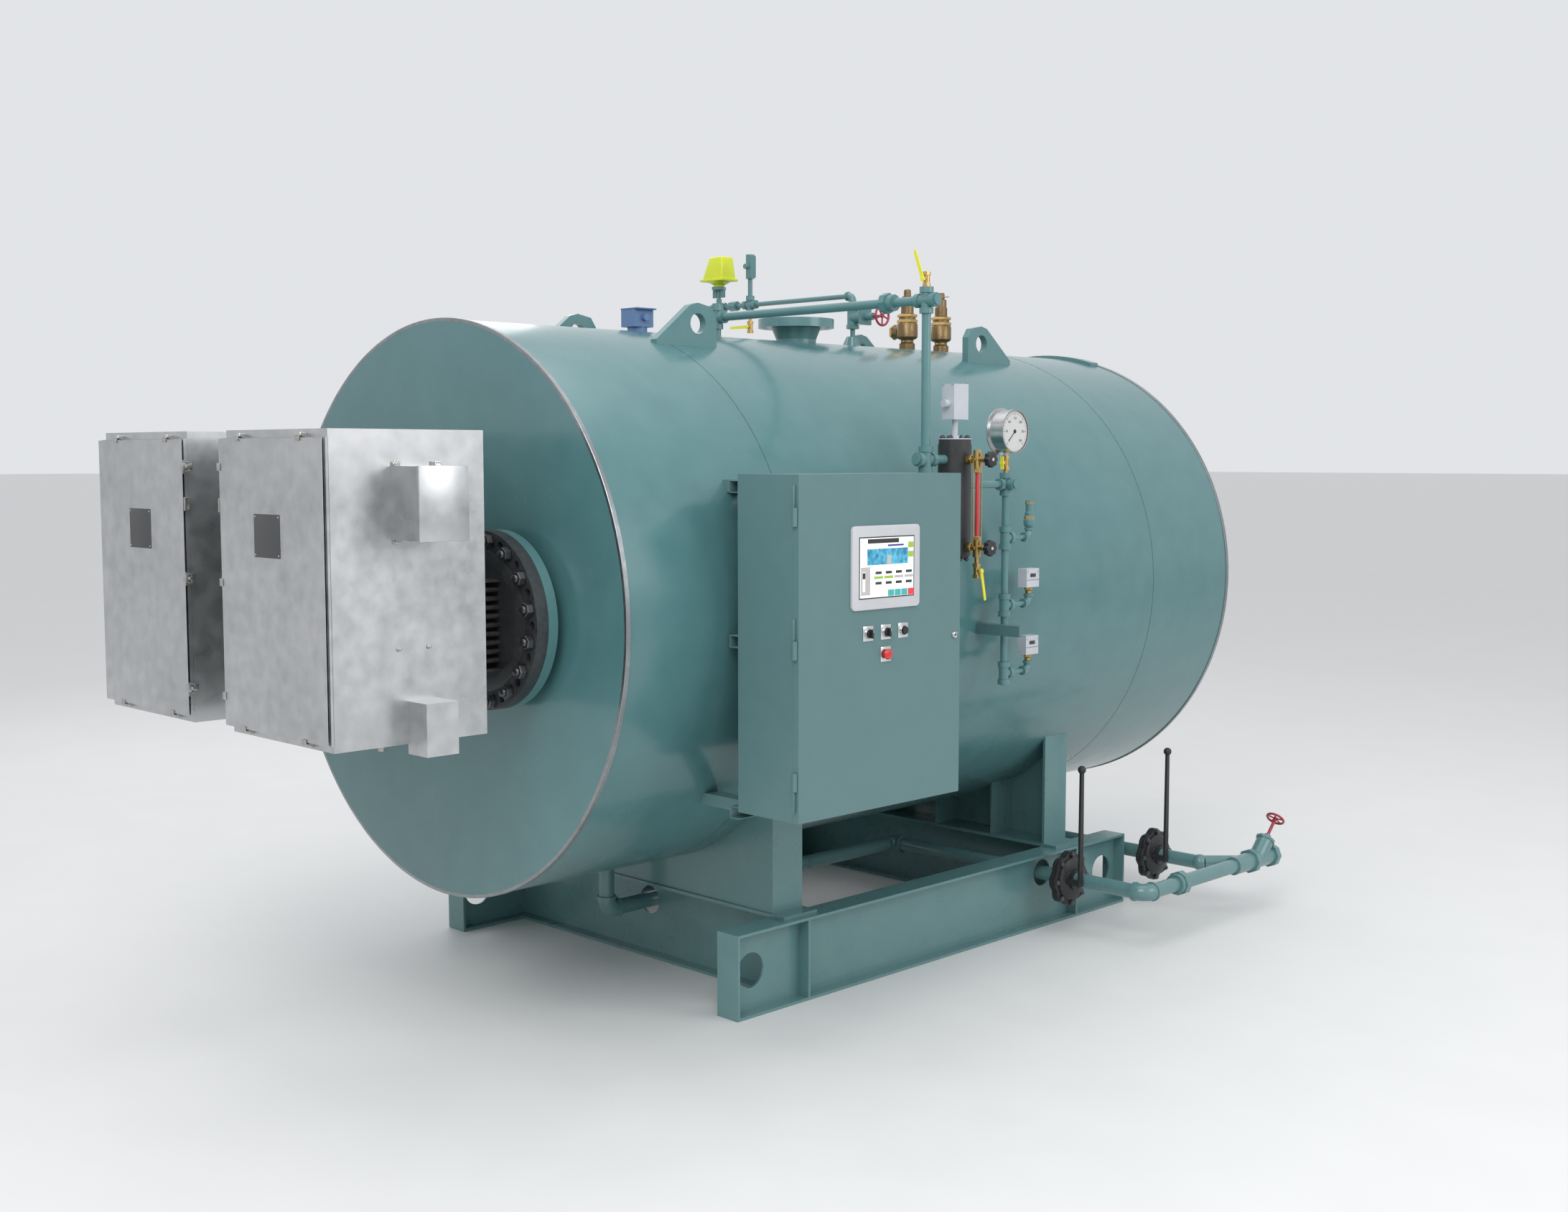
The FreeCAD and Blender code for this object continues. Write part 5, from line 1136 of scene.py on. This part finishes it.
@dataclass
class Manifold:
    """The gauge's dial, the pressure limits' windows and nipples, and the pipe clamp."""

    dial_radius: float = 0.0765
    tick_circle: float = 0.0640
    number_circle: float = 0.0490
    start: float = 45.0
    sweep: float = 270.0
    top_value: int = 300
    step: int = 50
    figure_height: float = 0.0130
    rim_radius: float = 0.089
    dial_inset: float = 0.0059
    limit_height: float = 0.072
    clamp_at: Place = (1.100, 0.8215, 1.311)

    def build(self) -> None:
        """Makes the manifold's fittings."""
        self.dial()
        self.limits()
        log.info("pressure manifold")

    def dial(self) -> None:
        """The white dial with its ticks, plain numbers and pointer."""
        _, high, middle = box_of("pressure_gauge")
        face = (high.x - self.dial_inset, middle.y, high.z - self.rim_radius)
        dress(turned("gauge_dial", ((0, 0), (self.dial_radius, 0), (self.dial_radius, 0.0008),
                                    (0, 0.0008)), face, Way.RIGHT, 72), DIAL_WHITE)
        front = (face[0] + 0.0009, face[1], face[2])
        count = self.top_value // 10
        small = around(front, Way.RIGHT, self.tick_circle, count, self.start, self.sweep)
        small += around(front, Way.RIGHT, self.tick_circle, 1, self.start + self.sweep)
        ticks = copies("dial_ticks", block("tick", (0.0035, 0, 0), (0.0055, 0.0009, 0.0004), 0),
                       small)
        long_count = self.top_value // self.step
        big = around(front, Way.RIGHT, self.tick_circle, long_count, self.start, self.sweep)
        big += around(front, Way.RIGHT, self.tick_circle, 1, self.start + self.sweep)
        marks = copies("dial_marks", block("mark", (0.0015, 0, 0), (0.0095, 0.0018, 0.0004), 0),
                       big)
        dress(joined("dial_ticks", [ticks, marks]), BLACK_PLASTIC)
        figures = []
        for value in range(0, self.top_value + 1, self.step):
            angle = math.radians(-self.start - self.sweep * value / self.top_value)
            figures.append(numeral(f"figure_{value}", str(value),
                                   (front[0], front[1] + self.number_circle * math.sin(angle),
                                    front[2] - self.number_circle * math.cos(angle)),
                                   self.figure_height))
        dress(joined("dial_numbers", figures), BLACK_PLASTIC)
        hub = turned("hub", ((0, 0), (0.0075, 0), (0.0070, 0.002), (0, 0.0025)), front,
                     Way.RIGHT, 24)
        hand = block("hand", (0.022, 0, 0.0012), (0.060, 0.0028, 0.0005), 0)
        settle(hand, (0, 0, 0), (0, 0, math.radians(-self.start)))
        settle(hand, front, Way.RIGHT.value)
        dress(joined("dial_pointer", [hub, hand]), BLACK_PLASTIC)
        inner = self.dial_radius
        rim = turned("gauge_bezel", ((inner, 0), (0.0820, 0), (0.0828, 0.002), (0.0828, 0.0055),
                                     (0.0805, 0.0062), (inner, 0.0040), (inner, 0)),
                     face, Way.RIGHT, 72)
        dress(rim, BLACK_PLASTIC)

    def limits(self) -> None:
        """Each pressure limit's window, screws and nipple."""
        low, high, middle = box_of("pressure_limits")
        for word, foot in (("lower", low.z), ("upper", high.z - self.limit_height)):
            window = block("window", (high.x + 0.0008, middle.y, foot + 0.046),
                           (0.0016, 0.034, 0.014), 0.0006)
            seam = block("seam", (high.x + 0.0004, middle.y, foot + 0.028),
                         (0.0008, 0.076, 0.0012), 0)
            dress(joined(f"limit_window_{word}", [window, seam]), SCREEN_BLACK)
            spots = [((high.x, middle.y + side * 0.032, foot + 0.060), Way.RIGHT.value)
                     for side in (-1, 1)]
            dress(copies(f"limit_screws_{word}", cap_screw("screw", 0.0032, 0.0018), spots), ZINC)
            nipple = many_sided("nipple", 6, 0.0150, 0.012, (middle.x, middle.y, foot - 0.013))
            ring = turned("ring", ((0.0095, 0), (0.0125, 0), (0.0125, 0.010), (0.0095, 0.010),
                                   (0.0095, 0)), (middle.x, middle.y, foot - 0.025), sides=24)
            dress(joined(f"limit_nipple_{word}", [nipple, ring]), BRASS)
        relief_low, relief_high, spot = box_of("relief_valve")
        hexes = [many_sided("relief_hex", 6, 0.0205, 0.014, (spot.x, spot.y, relief_low.z + 0.028)),
                 many_sided("relief_cap", 6, 0.0165, 0.012, (spot.x, spot.y,
                                                             relief_high.z - 0.016))]
        dress(joined("relief_hexes", hexes), BRASS)
        clamp = block("pipe_clamp", self.clamp_at, (0.052, 0.004, 0.030), 0.0012)
        dress(clamp, ZINC)


# ---------------------------------------------------------------- crown


@dataclass
class Crown:
    """The two safety valves, the level switch's screws and the seams of the jacket."""

    safety_places: tuple[float, float] = (1.532, 1.767)
    outlet_rise: float = 0.0826
    seams: tuple[float, float] = (-0.208, 1.987)
    band: float = 0.018
    seam_radius: float = 1.0163
    seam_width: float = 0.0025
    seam_proud: float = 0.0008
    band_inset: float = 0.012
    lid_screw_reach: float = 0.036
    outlet_start: float = -0.040

    def build(self) -> None:
        """Makes the crown's fittings."""
        low, high, _ = box_of("safety_valves")
        bodies, hexes = [], []
        for y in self.safety_places:
            body, nuts = self.safety_valve(y, low.z, high.z)
            bodies += body
            hexes += nuts
        whole = dress(joined("safety_valve_bodies", bodies), BRONZE)
        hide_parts("safety_valves")
        dress(joined("safety_valve_hexes", hexes), BRASS)
        lever = [block("arm", (0.022, self.safety_places[1], high.z - 0.020),
                       (0.050, 0.007, 0.004), 0.001),
                 block("fork", (0.0, self.safety_places[1], high.z - 0.032),
                       (0.010, 0.040, 0.016), 0.002)]
        dress(joined("safety_test_lever", lever), ZINC)
        self.level_switch()
        self.seam_rings()
        self.trim_bands()
        self.actuator_hood()
        log.info("crown")

    def safety_valve(self, y: float, foot: float, top: float,
                     ) -> tuple[list[bpy.types.Object], list[bpy.types.Object]]:
        """One safety valve: its turned bodies, and its brass hexes.

        Args:
            y: Where it stands along the vessel.
            foot: The height of its foot.
            top: The height of its cap.

        Returns:
            The bodies and the hexes.
        """
        at = (0, y, foot)
        tall = top - foot
        profile = ((0, 0), (0.035, 0), (0.035, 0.028), (0.027, 0.033), (0.027, 0.044),
                   (0.041, 0.050), (0.047, 0.058), (0.047, 0.112), (0.043, 0.120), (0.038, 0.122),
                   (0.038, 0.158), (0.0285, 0.162), (0.0285, 0.200), (0.0245, 0.204),
                   (0.0245, 0.236), (0.0165, 0.240), (0.0155, tall - 0.004), (0.012, tall),
                   (0, tall))
        side = (self.outlet_start, y, foot + self.outlet_rise)
        outlet = turned("outlet", ((0.0, 0), (0.029, 0), (0.029, 0.036), (0.024, 0.036),
                                   (0.024, 0.010), (0, 0.010)), side, Way.LEFT, 32)
        bodies = [turned("valve", profile, at, sides=40), outlet]
        hexes = [many_sided("low_hex", 6, 0.0470, 0.014, (0, y, foot + 0.121)),
                 many_sided("high_hex", 6, 0.0460, 0.012, (0, y, foot + 0.146)),
                 many_sided("neck_hex", 6, 0.0300, 0.008, (0, y, foot + 0.034))]
        hexes.append(turned("outlet_band", ((0.0290, 0), (0.0345, 0), (0.0345, 0.012),
                                            (0.0290, 0.012), (0.0290, 0)),
                            (side[0] - 0.028, y, side[2]), Way.LEFT, 6, 10))
        return bodies, hexes

    def level_switch(self) -> None:
        """The level switch housing's lid screws and raised lid."""
        low, high, middle = box_of("level_switch")
        lid = block("level_lid", ((low.x + high.x) / 2, middle.y, high.z - 0.0025),
                    (high.x - low.x + 0.004, high.y - low.y + 0.004, 0.006), 0.002)
        dress(lid, BLUE_HOUSING)
        reach = self.lid_screw_reach
        spots = [((middle.x + across * reach, middle.y + along * reach, high.z + 0.0005),
                  Way.UP.value) for across in (-1, 1) for along in (-1, 1)]
        dress(copies("level_screws", cap_screw("screw", 0.0045, 0.0030), spots), ZINC)

    def seam_rings(self) -> None:
        """The dark joints between the jacket's courses."""
        _, _, middle = box_of("jacket_middle")
        for index, y in enumerate(self.seams):
            outer, half = self.seam_radius, self.seam_width / 2
            inner = outer - self.seam_proud
            ring = turned(f"jacket_seam_{index}", ((inner, -half), (outer, -half), (outer, half),
                                                   (inner, half), (inner, -half)),
                          (0, y, middle.z), Way.REAR, 180)
            dress(ring, SEAM)


    def actuator_hood(self) -> None:
        """The actuator's moulded hood on its lip and flared foot, its far side sloped."""
        low, high, middle = box_of("feed_actuator")
        lip_z = low.z + 0.030
        wide, deep = high.x - low.x, high.y - low.y
        lip = block("lip", (middle.x, middle.y, lip_z), (wide, deep, 0.012), 0.003)
        foot = turned("foot", ((0, 0), (0.024, 0), (0.026, 0.008), (0.048, 0.020), (0.048, 0.026),
                               (0, 0.026)), (middle.x, middle.y, low.z), sides=32)
        clear_bench()
        tall = high.z - lip_z
        bpy.ops.mesh.primitive_cube_add(size=1, location=(middle.x, middle.y, lip_z + tall / 2),
                                        scale=(wide - 0.016, deep - 0.012, tall))
        hood = named("hood")
        bpy.ops.object.transform_apply(location=True, rotation=True, scale=True)
        pick_faces(hood, lambda centre, normal: normal.z > 0.9)
        bpy.ops.transform.resize(value=(0.64, 0.80, 1),
                                 center_override=(high.x - 0.034, middle.y, high.z))
        bpy.ops.mesh.select_all(action="SELECT")
        bpy.ops.mesh.bevel(offset=0.007, segments=3, affect="EDGES")
        bpy.ops.object.mode_set(mode="OBJECT")
        whole = dress(joined("actuator_hood", [lip, foot, done(hood)]), YELLOW_COVER)
        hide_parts("feed_actuator")

    def trim_bands(self) -> None:
        """The steel bands round both ends of the jacket, and the paint behind the front one."""
        low, high, middle = box_of("trim_rings")
        inner, outer = high.x - self.band_inset, high.x
        edge = 0.0015
        hoop = ((inner, 0), (outer - edge, 0), (outer, edge), (outer, self.band - edge),
                (outer - edge, self.band), (inner, self.band), (inner, 0))
        fill = self.band - 0.001
        steel = [turned("band", hoop, (0, low.y, middle.z), Way.REAR, 180),
                 turned("band", hoop, (0, high.y - self.band, middle.z), Way.REAR, 180)]
        whole = dress(joined("trim_bands", steel), TRIM)
        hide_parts("trim_rings")
        # The paint ring behind the front band takes the jacket's darker teal, which is painted
        # shade.
        paint = turned("front_band_paint", ((inner, 0), (self.seam_radius, 0),
                                            (self.seam_radius, fill), (inner, fill), (inner, 0)),
                       (0, low.y + self.band, middle.z), Way.REAR, 180)
        dress(paint, SHADED_JACKET_TEAL)


# ---------------------------------------------------------------- blowdown


@dataclass
class Blowdown:
    """The quick-opening valves' scalloped rims, bodies and bolts."""

    places: tuple[float, float] = (1.462, 2.097)
    height: float = 0.214
    rim: float = 0.114
    body: float = 0.090
    bolt_circle: float = 0.1015
    shaft_offset: float = 0.052
    rim_thick: float = 0.015
    shell_start: float = 0.0305
    boss_start: float = 0.034

    def build(self) -> None:
        """Makes both valves."""
        low, high, _ = box_of("blowdown_valves")
        shells, bolts = [], []
        for y in self.places:
            at = (low.x, y, self.height)
            shells.append(fluted("back_rim", 8, self.rim, 0.11, self.rim_thick, at,
                                 Way.RIGHT))
            shells.append(fluted("front_rim", 8, self.rim, 0.11, self.rim_thick,
                                 (low.x + self.rim_thick + 0.0005, y, self.height), Way.RIGHT))
            shells.append(turned("shell", ((0, 0), (self.body, 0), (self.body, 0.008),
                                           (0.084, 0.014), (0.060, 0.020), (0.044, 0.022),
                                           (0.044, 0.0315), (0, 0.0315)),
                                 (low.x + self.shell_start, y, self.height), Way.RIGHT, 48))
            reach = high.x - low.x - self.boss_start
            shells.append(turned("boss", ((0, 0), (0.022, 0), (0.020, 0.010), (0.0130, 0.014),
                                          (0.0130, reach), (0, reach)),
                                 (low.x + self.boss_start, y - self.shaft_offset, self.height),
                                 Way.RIGHT, 28))
            bolts += around((low.x + self.shell_start, y, self.height), Way.RIGHT,
                            self.bolt_circle, 8)
        whole = dress(joined("blowdown_valve_bodies", shells), BLACK_IRON)
        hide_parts("blowdown_valves")
        dress(copies("blowdown_bolts", hex_stud("bolt", 0.0115, 0.009, 0.005), bolts), DARK_STUD)
        log.info("blowdown valves")


# ---------------------------------------------------------------- studio


@dataclass
class Studio:
    """The camera, the pale floor and the soft lights."""

    eye: Place = (5.205, -4.464, 1.966)
    heading: float = 44.949
    dip: float = 4.869
    lens: float = 40.17
    film: float = 36
    floor_size: float = 400
    aim: Place = (0, 0.6, 1.3)
    air: tuple[float, float, float, float] = (0.95, 0.97, 1.0, 1)
    air_strength: float = 0.80

    def build(self) -> None:
        """Makes the camera, the floor, the backdrop's light and the lamps."""
        clear_bench()
        turn = (math.radians(90 - self.dip), 0, math.radians(self.heading))
        bpy.ops.object.camera_add(location=self.eye, rotation=turn)
        camera = bpy.context.object
        camera.data.lens = self.lens
        camera.data.sensor_width = self.film
        bpy.context.scene.camera = camera
        bpy.ops.mesh.primitive_plane_add(size=self.floor_size, location=(0, 0, -0.001))
        floor = named("studio_floor")
        floor.data.materials.append(Finish("floor", "teal_paint", (0.72, 0.72, 0.715),
                                           (0.75, 0.75, 0.745), 0.55, 0.05, patch=0.4).material())
        self.lamp("key", (4.5, -5.5, 6.5), 4.5, 290)
        self.lamp("fill", (-6.5, 2.5, 5.5), 4.0, 70)
        self.lamp("side", (7.5, 2.5, 4.5), 4.0, 140)
        self.lamp("overhead", (0.0, 0.5, 7.5), 6.0, 130)
        world = bpy.data.worlds.new("studio_air")
        world.use_nodes = True
        world.node_tree.nodes["Background"].inputs["Color"].default_value = self.air
        world.node_tree.nodes["Background"].inputs["Strength"].default_value = self.air_strength
        bpy.context.scene.world = world
        bpy.context.scene.view_settings.view_transform = "Standard"

    def lamp(self, name: str, at: Place, size: float, power: float) -> None:
        """Adds a square soft lamp that faces the object's middle."""
        aim = Vector(self.aim) - Vector(at)
        bpy.ops.object.light_add(type="AREA", location=at,
                                 rotation=aim.to_track_quat("-Z", "Y").to_euler())
        light = bpy.context.object
        light.name = name
        light.data.size = size
        light.data.energy = power


def main() -> None:
    """Builds the sub-assemblies in order, then the studio."""
    dress_nodes()
    for end in (TerminalEnd(1, "right"), TerminalEnd(-1, "left")):
        end.build()
    ElementFlanges().build()
    ControlPanel().build()
    WaterColumn().build()
    Manifold().build()
    Crown().build()
    Blowdown().build()
    Studio().build()


if __name__ == "__main__":
    main()
